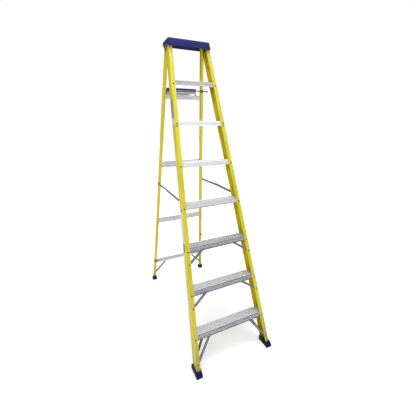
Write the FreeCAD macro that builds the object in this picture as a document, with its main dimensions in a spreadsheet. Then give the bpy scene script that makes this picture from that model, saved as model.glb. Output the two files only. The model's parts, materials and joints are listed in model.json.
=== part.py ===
import FreeCAD, Part
import math
import os
import Sketcher
from FreeCAD import Placement, Vector

# Step ladder with fibreglass rails, seven aluminium steps and a moulded top cap.
# The front (climbing) section faces -Y, the rear section stands at +Y, the floor is Z = 0.
# Every piece lies as it does with the ladder open.

os.makedirs("parts", exist_ok=True)
doc = FreeCAD.newDocument("step_ladder")
sheet = doc.addObject("Spreadsheet::Sheet", "sizes")

# Driving dimensions: millimetres and degrees. Tapers are millimetres of width lost per millimetre of rail.
DIMENSIONS = {
    # whole ladder
    "step_pitch": 304.8,
    "first_step_drop": 28.3,
    "front_lean": 17.0,
    "spread": 1406.0,
    "front_half_width": 304.4,
    "front_taper": 0.06,
    "rear_inset": 13.9,
    # front rails
    "rail_depth": 75.8,
    "rail_flange": 28.6,
    "rail_wall": 3.4,
    "rail_foot": 10.0,
    "rail_top_drop": 27.0,
    "rail_round": 2.0,
    # rear rails
    "rear_depth": 26.0,
    "rear_flange": 24.7,
    "rear_wall": 3.0,
    "rear_foot": 11.0,
    "rear_top_rise": 19.0,
    "drill_reach": 60.0,
    # hinge between the two sections
    "hinge_rise": 306.0,
    "hinge_gap": 29.4,
    "hinge_depth": 13.0,
    "hinge_side_gap": 7.97,
    "hinge_bolt_radius": 5.0,
    "hinge_head_radius": 9.0,
    "hinge_head_height": 5.0,
    "hinge_nut_radius": 8.5,
    # clearances
    "running_fit": 0.06,
    "fixed_fit": 0.1,
    "seat_gap": 0.3,
    "face_gap": 0.05,
    # steps
    "step_depth": 82.0,
    "tread_wall": 2.4,
    "front_skirt": 36.0,
    "rear_skirt": 24.0,
    "skirt_lip": 9.0,
    "step_end_gap": 0.6,
    # knee braces
    "brace_width": 17.0,
    "brace_depth": 8.0,
    "brace_wall": 1.8,
    "brace_head_gap": 0.6,
    "brace_overlap": 7.0,
    "brace_web_gap": 0.2,
    "knee_foot_above_boot": 41.0,
    "knee_drop": 117.0,
    "knee_reach": 130.0,
    "knee_head_rise": 8.0,
    "knee_rear_head_rise": 18.0,
    "knee_rear_reach": 108.0,
    "rear_knee_drop": 143.0,
    "rear_knee_reach": 122.0,
    # rear horizontals
    "bar_depth": 16.0,
    "bar_wall": 1.8,
    "clip_width": 16.0,
    "clip_wall": 2.2,
    "clip_rise": 252.0,
    "clip_gap": 1.2,
    # boots and tread pads
    "pad_height": 6.0,
    "front_toe": 17.0,
    "front_heel": 98.0,
    "front_boot_height": 39.0,
    "front_boot_side": 7.4,
    "rear_toe": 14.0,
    "rear_heel": 40.0,
    "rear_boot_height": 44.0,
    "rear_boot_side": 6.5,
    # top cap
    "cap_wall": 4.0,
    "cap_deck": 5.0,
    "cap_toe": 18.5,
    "cap_heel": 29.0,
    "cap_rise": 37.0,
    "cap_front_drop": 18.0,
    "cap_ear_drop": 42.0,
    "cap_round": 8.0,
    "cap_recess": 2.0,
    "cap_rim": 16.0,
    "cap_heel_slope": 13.0,
    "cap_heel_low": 6.0,
    "cap_rivet_drop": 38.0,
    # rivets
    "rivet_radius": 5.6,
    "rivet_height": 2.2,
    "small_rivet_radius": 3.6,
    "small_rivet_height": 1.6,
    "step_rivet_drop": 27.0,
    "twin_rivet_pitch": 18.0,
    # spreaders
    "spreader_along": 1200.0,
    "spreader_drop": 20.0,
    "spreader_stand_off": 15.0,
    "spreader_split": 0.517,
    "spreader_arch": 6.0,
    "front_bar_width": 23.0,
    "front_bar_thick": 3.2,
    "rear_bar_width": 20.0,
    "rear_bar_thick": 3.0,
    "bar_clearance": 1.2,
    "spreader_pin_radius": 4.0,
    "spreader_head_radius": 7.0,
    "spreader_head_height": 2.2,
    "bracket_thick": 2.6,
    "bracket_height": 30.0,
    # pail shelf
    "shelf_rise": 42.8,
    "shelf_left_gap": 29.3,
    "shelf_right_gap": 68.5,
    "shelf_rear_taper": 19.2,
    "shelf_depth": 215.0,
    "shelf_sheet": 1.6,
    "shelf_side": 24.0,
    "shelf_skirt": 38.0,
    "shelf_nose": 8.0,
    "shelf_deck_above_pin": 9.0,
    "shelf_pin_radius": 3.0,
    "shelf_pin_length": 8.0,
    "shelf_pin_reach": 3.4,
    "shelf_pin_depth": 3.8,
    "shelf_plate_thick": 2.2,
    "shelf_plate_front": 7.0,
    "shelf_plate_back": 14.0,
    "shelf_plate_top": 7.0,
    "shelf_plate_gap": 0.8,
    "trim_thick": 4.5,
    "trim_height": 9.0,
    "trim_block_width": 24.0,
    "trim_block_height": 28.0,
    "latch_rod_radius": 5.0,
    "latch_rod_gap": 1.4,
    "latch_rod_start": 9.0,
    "latch_rod_out": 27.0,
    "latch_rod_drop": 2.0,
    "latch_knob_length": 15.0,
    "latch_knob_set_back": 6.0,
    "latch_clip_width": 16.0,
    "latch_clip_height": 18.0,
    "latch_clip_cover": 2.6,
    # blank plates
    "plate_thick": 0.5,
}

for row, (alias, number) in enumerate(DIMENSIONS.items(), start=1):
    sheet.set("A%d" % row, alias)
    sheet.set("B%d" % row, str(number))
    sheet.setAlias("B%d" % row, alias)
doc.recompute()


class Size:
    """A number together with the sheet expression that gives it."""

    def __init__(self, text, value):
        self.text = text
        self.value = value

    def join(self, other, sign, value):
        return Size("(%s %s %s)" % (self.text, sign, as_size(other).text), value)

    def __add__(self, other):
        return self.join(other, "+", self.value + as_size(other).value)

    def __sub__(self, other):
        return self.join(other, "-", self.value - as_size(other).value)

    def __mul__(self, other):
        return self.join(other, "*", self.value * as_size(other).value)

    def __truediv__(self, other):
        return self.join(other, "/", self.value / as_size(other).value)

    def __neg__(self):
        return Size("(0 - %s)" % self.text, -self.value)


def as_size(number):
    return number if isinstance(number, Size) else Size(repr(float(number)), float(number))


def size(alias):
    return Size("sizes." + alias, float(sheet.get(alias)))


def mm(alias):
    return float(sheet.get(alias))


def tangent(angle):
    return Size("tan(%s)" % angle.text, math.tan(math.radians(angle.value)))


def cosine(angle):
    return Size("cos(%s)" % angle.text, math.cos(math.radians(angle.value)))


def placement(origin, x_axis, y_axis, z_axis):
    """A placement whose axes are given as three unit vectors."""
    matrix = FreeCAD.Matrix()
    matrix.A11, matrix.A12, matrix.A13, matrix.A14 = x_axis.x, y_axis.x, z_axis.x, origin.x
    matrix.A21, matrix.A22, matrix.A23, matrix.A24 = x_axis.y, y_axis.y, z_axis.y, origin.y
    matrix.A31, matrix.A32, matrix.A33, matrix.A34 = x_axis.z, y_axis.z, z_axis.z, origin.z
    return Placement(matrix)


X_AXIS = Vector(1, 0, 0)
Y_AXIS = Vector(0, 1, 0)
Z_AXIS = Vector(0, 0, 1)
SIDES = {"left": -1, "right": 1}


class Section:
    """One leaning section of the ladder, measured from the floor line of its front faces."""

    def __init__(self, floor_y, lean, half_width, taper):
        self.floor_y = floor_y
        self.lean = lean
        self.base_half_width = half_width
        self.taper = taper
        self.along = Vector(0, math.sin(lean), math.cos(lean))
        self.depth = Vector(0, math.cos(lean), -math.sin(lean))

    def half_width(self, along):
        return self.base_half_width - self.taper * along

    def point(self, x, along, depth):
        return Vector(x, self.floor_y, 0) + self.along * along + self.depth * depth

    def frame(self, x, along, depth):
        """Axes: X across, Y into the depth of the section, Z up along it."""
        return placement(self.point(x, along, depth), X_AXIS, self.depth, self.along)

    def cross_frame(self, x, along, depth):
        """Axes: X into the depth, Y up along the section, Z across the ladder."""
        return placement(self.point(x, along, depth), self.depth, self.along, X_AXIS)

    def bar_frame(self, start, end, depth, end_depth=None):
        """Z runs from start to end, both (x, along), and Y goes into the depth."""
        origin = self.point(start[0], start[1], depth)
        run = self.point(end[0], end[1], depth if end_depth is None else end_depth) - origin
        run.normalize()
        across = self.depth.cross(run).normalize()
        return placement(origin, across, run.cross(across), run)

    def rail_frame(self, side, along):
        """Z follows the splayed rail and the origin is its outer front corner."""
        start = (side * self.half_width(along), along)
        end = (side * self.half_width(along + 1000), along + 1000)
        return self.bar_frame(start, end, 0)

    def rail_length(self, along):
        return along * math.hypot(1, self.taper)


def step_along(number):
    return number * mm("step_pitch") - mm("first_step_drop")


STEP_COUNT = 7
TWIN_RIVET_STEP = 6
centre_y = (mm("spread") + mm("rear_heel") - mm("front_toe")) / 2
front = Section(-centre_y, math.radians(mm("front_lean")), mm("front_half_width"), mm("front_taper"))

# The hinge axis lies behind the front rails, and the rear section leans so that it passes through it.
hinge_along = step_along(STEP_COUNT) + mm("hinge_rise")
hinge = front.point(0, hinge_along, mm("rail_depth") + mm("hinge_gap"))
rear_reach = math.hypot(mm("spread") - centre_y - hinge.y, hinge.z)
rear_angle = math.atan2(hinge.z, mm("spread") - centre_y - hinge.y)
rear_lean = math.pi / 2 + math.asin(mm("hinge_depth") / rear_reach) - rear_angle
rear_hinge_along = math.sqrt(rear_reach ** 2 - mm("hinge_depth") ** 2)

# The cap's side walls clear the widest part of the front rails that they cover, and the rear rails
# narrow towards the hinge so that a bushing fits beside them inside those walls.
cap_low_along = hinge_along - mm("cap_ear_drop") - mm("rail_depth") * 0.6
cap_inner_half = front.half_width(cap_low_along) + mm("seat_gap")
cap_half = cap_inner_half + mm("cap_wall")
rail_rise = (mm("rail_depth") + mm("hinge_gap")) * math.sin(math.radians(mm("front_lean")))
cap_taper_start = cap_low_along - hinge_along + rail_rise


def cap_narrowing(height):
    """How far each side of the cap has moved in at a height above the hinge."""
    return front.taper * (height - cap_taper_start)


rear_half_width = mm("front_half_width") - mm("rear_inset")
rear_taper = (rear_half_width - cap_inner_half + mm("hinge_side_gap")) / rear_hinge_along
rear = Section(mm("spread") - centre_y, -rear_lean, rear_half_width, rear_taper)

nodes = []


def keep(name, feature):
    """Name a finished piece; its label becomes its file name."""
    feature.Label = name
    nodes.append(feature)
    return feature


def new_body(name):
    return doc.addObject("PartDesign::Body", name)


def new_sketch(body, role, name):
    sketch = body.newObject("Sketcher::SketchObject", name)
    plane = [item for item in body.Origin.OriginFeatures if item.Role == role][0]
    sketch.AttachmentSupport = [(plane, "")]
    sketch.MapMode = "FlatFace"
    return sketch


def hold_point(sketch, geometry, position, x, y):
    """Hold one point of a sketch at two bound distances from its origin."""
    for kind, distance in (("DistanceX", as_size(x)), ("DistanceY", as_size(y))):
        constraint = Sketcher.Constraint(kind, -1, 1, geometry, position, distance.value)
        index = sketch.addConstraint(constraint)
        sketch.setExpression("Constraints[%d]" % index, distance.text)


def outline(body, role, name, points):
    """A closed outline of straight lines, each corner held by bound distances."""
    sketch = new_sketch(body, role, name)
    corners = [Vector(as_size(x).value, as_size(y).value, 0) for x, y in points]
    count = len(corners)
    for index in range(count):
        sketch.addGeometry(Part.LineSegment(corners[index], corners[(index + 1) % count]), False)
    for index in range(count):
        sketch.addConstraint(Sketcher.Constraint("Coincident", index, 2, (index + 1) % count, 1))
    for index, (x, y) in enumerate(points):
        hold_point(sketch, index, 1, x, y)
    return sketch


def pad(body, sketch, length):
    feature = body.newObject("PartDesign::Pad", "Pad")
    feature.Profile = sketch
    feature.setExpression("Length", as_size(length).text)
    body.Tip = feature
    return feature


def pocket(body, sketch, length, reverse=False):
    feature = body.newObject("PartDesign::Pocket", "Pocket")
    feature.Profile = sketch
    feature.Reversed = reverse
    feature.setExpression("Length", as_size(length).text)
    body.Tip = feature
    return feature


def fillet(body, radius, chosen):
    """Round the edges of the body's tip whose centre passes the test."""
    doc.recompute()
    base = body.Tip
    names = []
    for index, edge in enumerate(base.Shape.Edges, start=1):
        if chosen(edge):
            names.append("Edge%d" % index)
    feature = body.newObject("PartDesign::Fillet", "Fillet")
    feature.Base = (base, names)
    feature.setExpression("Radius", as_size(radius).text)
    body.Tip = feature
    return feature


def channel_points(width, depth, wall, side):
    """A C section: web at X = 0, flanges of the given width on the inner side."""
    reach = -width * side
    web = -wall * side
    return [
        (0, 0),
        (0, depth),
        (reach, depth),
        (reach, depth - wall),
        (web, depth - wall),
        (web, wall),
        (reach, wall),
        (reach, 0),
    ]


def box(name, frame, corner, extents):
    """A block whose three lengths are bound, with its low corner at the given place in the frame."""
    block = doc.addObject("Part::Box", name)
    for prop, length in zip(("Length", "Width", "Height"), extents):
        block.setExpression(prop, as_size(length).text)
    x, y, z = (as_size(value).value for value in corner)
    block.Placement = frame.multiply(Placement(Vector(x, y, z), FreeCAD.Rotation()))
    return block


def pin(name, start_x, y, z, radius, length):
    """A round bar along the world X axis, towards +X."""
    bar = doc.addObject("Part::Cylinder", name)
    bar.setExpression("Radius", as_size(radius).text)
    bar.setExpression("Height", as_size(length).text)
    bar.Placement = placement(Vector(start_x, y, z), Y_AXIS, Z_AXIS, X_AXIS)
    return bar


def fuse(name, pieces):
    joined = doc.addObject("Part::MultiFuse", name)
    joined.Shapes = pieces
    return joined


def cut(name, base, tools):
    result = doc.addObject("Part::Cut", name)
    result.Base = base
    result.Tool = tools[0] if len(tools) == 1 else fuse(name + "_tools", tools)
    return result


def group(name, shapes):
    """Identical fasteners: separate solids in one node."""
    feature = doc.addObject("Part::Feature", name)
    feature.Shape = Part.makeCompound(shapes)
    return keep(name, feature)


def rivet_head(centre, outward, radius=None, height=None):
    """A low domed head standing on a face."""
    radius = radius or mm("rivet_radius")
    height = height or mm("rivet_height")
    skirt = height * 0.35
    seat = centre + outward * mm("face_gap")
    base = Part.makeCylinder(radius, skirt, seat, outward)
    dome = Part.makeCone(radius, radius * 0.55, height - skirt, seat + outward * skirt, outward)
    return base.fuse(dome).removeSplitter()


# ---------------------------------------------------------------- spreader geometry

spreader_plane = rear.half_width(mm("spreader_along")) + mm("bar_clearance")
front_bar_plane = spreader_plane + mm("rear_bar_thick") + mm("bar_clearance")
ear_inner = front_bar_plane - mm("bar_clearance") * 0.5 - mm("bracket_thick")
rear_pivot = rear.point(0, mm("spreader_along"), mm("hinge_depth"))
front_pivot_along = hinge_along - (rear_hinge_along - mm("spreader_along")) - mm("spreader_drop")
front_pivot = front.point(0, front_pivot_along, mm("rail_depth") + mm("spreader_stand_off"))
gap_vector = rear_pivot - front_pivot
gap_normal = Vector(0, -gap_vector.z, gap_vector.y).normalize()
knee = front_pivot + gap_vector * mm("spreader_split") + gap_normal * mm("spreader_arch")

# ---------------------------------------------------------------- rails


def rail(section, name, side, foot, top, depth, flange_width, wall):
    body = new_body(name + "_section")
    profile = outline(body, "XY_Plane", "Profile", channel_points(flange_width, depth, wall, side))
    pad(body, profile, section.rail_length(top - foot))
    web_edges = min(mm("rail_round"), wall.value * 0.8)
    fillet(body, web_edges, lambda edge: edge.Length > 500 and abs(edge.CenterOfMass.x) < 0.01)
    body.Placement = section.rail_frame(side, foot)
    return body


# The front rails lean back, so the rear corner of their square-cut foot is the lowest.
front_foot = (mm("rail_foot") + mm("rail_depth") * math.sin(front.lean)) / math.cos(front.lean)
rear_foot = mm("rear_foot") / math.cos(rear.lean)


def front_rail(label, side):
    top = hinge_along - mm("rail_top_drop")
    body = rail(
        front, "front_rail_" + label, side, front_foot, top,
        size("rail_depth"), size("rail_flange"), size("rail_wall"),
    )
    keep("front_rail_" + label, body)


def rear_rail(label, side):
    name = "rear_rail_" + label
    top = rear_hinge_along + mm("rear_top_rise")
    body = rail(
        rear, name, side, rear_foot, top,
        size("rear_depth"), size("rear_flange"), size("rear_wall"),
    )
    reach = mm("drill_reach")
    hinge_x = side * rear.half_width(rear_hinge_along) - reach / 2
    pivot_x = side * rear.half_width(mm("spreader_along")) - reach / 2
    hinge_hole = pin(
        name + "_hinge_hole", hinge_x, hinge.y, hinge.z,
        size("hinge_bolt_radius") + size("running_fit"), reach,
    )
    pivot_hole = pin(
        name + "_pivot_hole", pivot_x, rear_pivot.y, rear_pivot.z,
        size("spreader_pin_radius") + size("fixed_fit"), reach,
    )
    keep(name, cut(name + "_drilled", body, [hinge_hole, pivot_hole]))


for label, side in SIDES.items():
    front_rail(label, side)
    rear_rail(label, side)

# ---------------------------------------------------------------- steps


def step(number):
    """Level tread with a skirt at each edge; the ends are narrowed to sit inside the rails."""
    along = step_along(number)
    name = "step_%d" % number
    lean = tangent(size("front_lean"))
    depth = size("step_depth")
    wall = size("tread_wall")
    skirt = size("front_skirt") * cosine(size("front_lean"))
    back = size("rear_skirt") * cosine(size("front_lean"))
    lip = size("skirt_lip")
    rear_corner = along + mm("step_depth") * math.sin(front.lean)
    inner_half = front.half_width(rear_corner) - mm("rail_wall") - mm("step_end_gap")
    seat = mm("rail_wall") + mm("seat_gap")

    body = new_body(name + "_section")
    points = [
        (0, 0),
        (depth, 0),
        (depth - back * lean, -back),
        (depth - back * lean - lip, -back),
        (depth - (back - wall) * lean - lip, wall - back),
        (depth - (back - wall) * lean - wall, wall - back),
        (depth - wall * lean - wall, -wall),
        (wall - wall * lean, -wall),
        (wall - skirt * lean, -skirt),
        (-skirt * lean, -skirt),
    ]
    pad(body, outline(body, "XY_Plane", "Profile", points), inner_half * 2)

    # The tread is wider than the rail is deep, so each end is notched behind the rear flange.
    channel = (size("rail_depth") - size("rail_wall") * 2 - size("seat_gap") * 2) / cosine(size("front_lean"))
    flange_reach = mm("rail_flange") + mm("step_end_gap") + mm("front_taper") * mm("front_skirt")
    drop = size("front_skirt")
    for end in (0, 1):
        notch = [
            (channel, 1),
            (channel + size("step_depth"), 1),
            (channel + size("step_depth"), -drop),
            (channel - drop * lean, -drop),
        ]
        sketch = outline(body, "XY_Plane", "Notch%d" % end, notch)
        start = end * (inner_half * 2 - flange_reach)
        sketch.AttachmentOffset = Placement(Vector(0, 0, start), FreeCAD.Rotation())
        pocket(body, sketch, flange_reach, reverse=True)
    origin = front.point(-inner_half, along, seat)
    body.Placement = placement(origin, Y_AXIS, Z_AXIS, X_AXIS)
    keep(name, body)


for number in range(1, STEP_COUNT + 1):
    step(number)

# ---------------------------------------------------------------- braces


def brace(section, name, rail_end, step_end, depth, end_depth=None, open_back=True):
    """A small C section from a rail flange to a step or bar, ends past its two rivets."""
    run = Vector(step_end[0] - rail_end[0], step_end[1] - rail_end[1], 0)
    run.normalize()
    overlap = mm("brace_overlap")
    start = (rail_end[0] - run.x * overlap, rail_end[1] - run.y * overlap)
    end = (step_end[0] + run.x * overlap, step_end[1] + run.y * overlap)
    length = math.hypot(end[0] - start[0], end[1] - start[1])
    half = size("brace_width") / 2
    wall = size("brace_wall")
    deep = size("brace_depth")
    body = new_body(name + "_section")
    web = 0 if open_back else deep
    inner = wall if open_back else deep - wall
    mouth = deep if open_back else 0
    points = [
        (-half, web),
        (half, web),
        (half, mouth),
        (half - wall, mouth),
        (half - wall, inner),
        (wall - half, inner),
        (wall - half, mouth),
        (-half, mouth),
    ]
    pad(body, outline(body, "XY_Plane", "Profile", points), length)
    body.Placement = section.bar_frame(start, end, depth, end_depth)
    keep(name, body)


def brace_ends(web, foot, head, reach):
    """Rivet places as (x, along) for the right side; the foot's outer corner just clears the rail's web."""
    head_x = web - reach
    foot_x = web
    for _ in range(8):
        slope = math.atan2(foot_x - head_x, head - foot)
        corner = mm("brace_width") / 2 * math.cos(slope) + mm("brace_overlap") * math.sin(slope)
        foot_x = web - corner - mm("brace_web_gap")
    return (foot_x, foot), (head_x, head)


def knee_ends(number, head_rise="knee_head_rise", reach="knee_reach"):
    """The knee brace under a step; the lowest one starts just above the boot."""
    along = step_along(number)
    foot = along - mm("knee_drop")
    if number == 1:
        foot = mm("front_boot_height") + mm("knee_foot_above_boot")
    head = along - mm("front_skirt") + mm(head_rise)
    web = front.half_width(foot + mm("brace_width") / 2) - mm("rail_wall")
    return brace_ends(web, foot, head, mm(reach))


braced_steps = (1, 2, 3)
flange_inside = mm("rail_wall") + mm("seat_gap")
skirt_inside = flange_inside + mm("tread_wall") + mm("brace_head_gap")
for label, side in SIDES.items():
    for number in braced_steps:
        foot, head = knee_ends(number)
        brace(
            front, "knee_brace_%d_%s" % (number, label), (side * foot[0], foot[1]),
            (side * head[0], head[1]), flange_inside, skirt_inside,
        )
    foot, head = knee_ends(1, "knee_rear_head_rise", "knee_rear_reach")
    back = mm("rail_depth") - mm("rail_wall") - mm("tread_wall") - mm("brace_depth")
    brace(
        front, "knee_brace_rear_" + label, (side * foot[0], foot[1]), (side * head[0], head[1]),
        back, open_back=False,
    )

# ---------------------------------------------------------------- rear horizontals

# Lower and upper edge of each bar, measured along rear rails of the length given first.
REAR_LAYOUT = 2353.0
REAR_BARS = {1: (234.0, 272.0), 2: (755.0, 807.0), 3: (1363.0, 1418.0), 4: (1973.0, 2006.0)}


def bar_place(number):
    """The bars keep their places when the ladder's length changes."""
    scale = rear_hinge_along / REAR_LAYOUT
    low, high = REAR_BARS[number]
    middle = (low + high) / 2 * scale
    return middle - (high - low) / 2, middle + (high - low) / 2


def rear_bar(number):
    low, high = bar_place(number)
    height = high - low
    wall = size("bar_wall")
    deep = size("bar_depth")
    half = rear.half_width(high) - mm("rear_wall") - mm("step_end_gap")
    body = new_body("rear_bar_%d_section" % number)
    points = [
        (0, 0),
        (deep, 0),
        (deep, wall),
        (wall, wall),
        (wall, height - wall.value),
        (deep, height - wall.value),
        (deep, height),
        (0, height),
    ]
    pad(body, outline(body, "XY_Plane", "Profile", points), half * 2)
    body.Placement = rear.cross_frame(-half, low, mm("rear_wall") + mm("seat_gap"))
    keep("rear_bar_%d" % number, body)


for number in REAR_BARS:
    rear_bar(number)

rear_brace_depth = mm("rear_wall") + mm("seat_gap") + mm("bar_wall") + mm("face_gap")


for label, side in SIDES.items():
    bar_low = bar_place(1)[0]
    brace_foot = bar_low - mm("rear_knee_drop")
    brace_web = rear.half_width(brace_foot + mm("brace_width") / 2) - mm("rear_wall")
    foot, head = brace_ends(brace_web, brace_foot, bar_low - mm("brace_width") * 0.8, mm("rear_knee_reach"))
    brace(rear, "rear_brace_" + label, (side * foot[0], foot[1]), (side * head[0], head[1]), rear_brace_depth)

# ---------------------------------------------------------------- boots and tread pads


def boot(section, name, side, toe, heel, height, side_wall, rail_depth, flange_width, foot):
    """A moulded boot round the foot of a rail, and the rubber pad under it."""
    slant = math.tan(section.lean)
    outer = section.half_width(0) + side_wall.value
    inner = section.half_width(height.value) - flange_width.value - side_wall.value
    width = outer - inner
    low_x = inner if side > 0 else -outer
    base = mm("pad_height")
    top_shift = slant * height.value
    points = [
        (-toe, base),
        (heel, base),
        (heel + min(top_shift, 0) * 0.3, height * 0.5),
        (rail_depth / abs(math.cos(section.lean)) + side_wall * 0.6 + top_shift, height),
        (-side_wall * 0.6 + top_shift, height),
    ]
    body = new_body(name + "_boot_block")
    pad(body, outline(body, "XY_Plane", "Profile", points), width)
    body.Placement = placement(Vector(low_x, section.floor_y, 0), Y_AXIS, Z_AXIS, X_AXIS)
    gap = size("fixed_fit")
    corner_x = -(flange_width + gap) if side > 0 else -gap
    socket = box(
        name + "_boot_socket", section.rail_frame(side, foot), (corner_x, -gap, 0),
        (flange_width + gap * 2, rail_depth + gap * 2, height * 3),
    )
    keep(name + "_boot", cut(name + "_boot_cut", body, [socket]))
    floor = placement(Vector(low_x, section.floor_y, 0), X_AXIS, Y_AXIS, Z_AXIS)
    tread = box(name + "_pad_block", floor, (0, -toe, 0), (width, toe + heel, size("pad_height")))
    keep(name + "_pad", tread)


for label, side in SIDES.items():
    boot(
        front, "front_" + label, side, size("front_toe"), size("front_heel"), size("front_boot_height"),
        size("front_boot_side"), size("rail_depth"), size("rail_flange"), front_foot,
    )
    boot(
        rear, "rear_" + label, side, size("rear_toe"), size("rear_heel"), size("rear_boot_height"),
        size("rear_boot_side"), size("rear_depth"), size("rear_flange"), rear_foot,
    )

# ---------------------------------------------------------------- top cap


def taper_sides(body, half, top):
    """Lean both sides of a cap piece inwards with the rails, up to just above its top."""
    high = top + 1
    inward = front.taper * (high - cap_taper_start)
    for name, edge, inner in (("Low", 0, inward), ("High", half * 2, half * 2 - inward)):
        sketch = outline(body, "YZ_Plane", name, [(cap_taper_start, edge), (high, edge), (high, inner)])
        sketch.AttachmentOffset = Placement(Vector(0, 0, -half), FreeCAD.Rotation())
        pocket(body, sketch, half * 2, reverse=True)


def top_cap():
    lean = tangent(size("front_lean"))
    behind = (size("rail_depth") + size("hinge_gap")) / cosine(size("front_lean"))
    rise = size("cap_rise")
    drop = size("cap_front_drop")
    ear = size("cap_ear_drop")
    wall = size("cap_wall")
    heel = size("rear_depth") - size("hinge_depth") + size("cap_heel")
    slope = size("cap_heel_slope")
    heel_low = size("cap_heel_low")

    def nose(z):
        return z * lean - behind - size("cap_toe")

    rail_back = size("rail_depth") / cosine(size("front_lean")) - behind
    points = [
        (nose(-drop), -drop),
        (rail_back - size("rail_depth") * 0.5 - ear * lean, -drop),
        (rail_back - ear * 0.55, -ear),
        (rail_back - ear * 0.25, -ear),
        (rail_back + size("hinge_gap") * 0.4, -drop),
        (heel, heel_low),
        (heel - slope, rise),
        (nose(rise), rise),
    ]
    body = new_body("top_cap_shell")
    pad(body, outline(body, "XY_Plane", "Profile", points), cap_half * 2)
    top = rise.value
    taper_sides(body, cap_half, top)

    def outer_edge(edge):
        middle = edge.CenterOfMass
        across = edge.Length > cap_half
        inward = cap_narrowing(middle.y)
        at_side = min(abs(middle.z - inward), abs(middle.z + inward - cap_half * 2)) < 0.01
        crown = across and middle.y > top - 1
        return crown or (at_side and middle.y > -drop.value * 0.9 and edge.Length > 20)

    fillet(body, size("cap_round"), outer_edge)
    hollow_top = rise - size("cap_deck")
    deep = -(ear + 5)
    hollow = [
        (nose(deep) + wall, deep),
        (heel - wall, deep),
        (heel - wall, heel_low),
        (heel - wall - slope, hollow_top),
        (nose(hollow_top) + wall, hollow_top),
    ]
    inside = new_body("top_cap_hollow")
    pad(inside, outline(inside, "XY_Plane", "Hollow", hollow), cap_inner_half * 2)
    taper_sides(inside, cap_inner_half, hollow_top.value)
    inside.Placement = placement(Vector(-cap_inner_half, hinge.y, hinge.z), Y_AXIS, Z_AXIS, X_AXIS)
    rim = size("cap_rim")
    recess_depth = size("cap_recess")
    recess = [
        (nose(rise) + rim, rise - recess_depth),
        (heel - slope - rim, rise - recess_depth),
        (heel - slope - rim, rise + 1),
        (nose(rise) + rim, rise + 1),
    ]
    tray = outline(body, "XY_Plane", "Recess", recess)
    side_rim = mm("cap_rim") + cap_narrowing(top)
    tray.AttachmentOffset = Placement(Vector(0, 0, side_rim), FreeCAD.Rotation())
    pocket(body, tray, (cap_half - side_rim) * 2, reverse=True)
    body.Placement = placement(Vector(-cap_half, hinge.y, hinge.z), Y_AXIS, Z_AXIS, X_AXIS)
    hole_radius = size("hinge_bolt_radius") + size("fixed_fit")
    hole = pin("cap_hinge_hole", -cap_half - 1, hinge.y, hinge.z, hole_radius, cap_half * 2 + 2)
    keep("top_cap", cut("top_cap_drilled", body, [inside, hole]))


top_cap()


def hinge_bolt(label, side):
    """Bolt through the cap ear and the rear rail, with its head outside and its nut in the rail."""
    nut_start = rear.half_width(rear_hinge_along) - mm("rear_wall") - mm("seat_gap") * 3
    nut_end = nut_start - mm("hinge_head_height")
    head_start = cap_half - cap_narrowing(-mm("hinge_head_radius")) + mm("face_gap")
    name = "hinge_bolt_" + label
    shank_low = nut_end if side > 0 else -head_start - mm("hinge_head_height") * 0.5
    shank_length = head_start + mm("hinge_head_height") * 0.5 - nut_end
    shank = pin(name + "_shank", shank_low, hinge.y, hinge.z, size("hinge_bolt_radius"), shank_length)
    head_low = head_start if side > 0 else -head_start - mm("hinge_head_height")
    head = pin(
        name + "_head", head_low, hinge.y, hinge.z, size("hinge_head_radius"), size("hinge_head_height"),
    )
    nut_low = nut_end if side > 0 else -nut_start
    nut = pin(name + "_nut", nut_low, hinge.y, hinge.z, size("hinge_nut_radius"), size("hinge_head_height"))
    keep(name, fuse(name + "_joined", [shank, head, nut]))

    # The bushing fills the space between the cap wall and the rear rail.
    name = "hinge_bushing_" + label
    start = rear.half_width(rear_hinge_along) + rear.taper * mm("hinge_head_radius") + mm("seat_gap")
    length = cap_inner_half - cap_narrowing(mm("hinge_head_radius")) - mm("face_gap") - start
    low = start if side > 0 else -start - length
    ring = pin(name + "_ring", low, hinge.y, hinge.z, size("hinge_head_radius"), length)
    hole = pin(
        name + "_hole", low - 1, hinge.y, hinge.z, size("hinge_bolt_radius") + size("fixed_fit"), length + 2,
    )
    return cut(name + "_cut", ring, [hole])


bushings = doc.addObject("Part::Compound", "hinge_bushings")
bushings.Links = [hinge_bolt(label, side) for label, side in SIDES.items()]
keep("hinge_bushings", bushings)

# ---------------------------------------------------------------- spreaders


def flat_bar(name, start, end, x_low, width, thick, start_hole, end_hole):
    """A flat bar in a plane of constant X, with a round end and a hole at each pivot."""
    run = end - start
    length = run.Length
    run.normalize()
    across = run.cross(X_AXIS)
    frame = placement(Vector(x_low, start.y, start.z), X_AXIS, across, run)
    blade = box(name + "_blade", frame, (0, -width / 2, 0), (thick, width, length))
    rounds = []
    for tag, centre in (("start", start), ("end", end)):
        rounds.append(pin(name + "_" + tag, x_low, centre.y, centre.z, width / 2, thick))
    solid = fuse(name + "_solid", [blade] + rounds)
    holes = []
    for tag, centre, radius in (("start", start, start_hole), ("end", end, end_hole)):
        holes.append(pin(name + "_" + tag + "_hole", x_low - 1, centre.y, centre.z, radius, thick + 2))
    return cut(name + "_cut", solid, holes)


def low_side(side, inner, thick):
    """Lower X of a plate that spans from inner to inner + thick on one side."""
    return inner if side > 0 else -inner - thick


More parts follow.
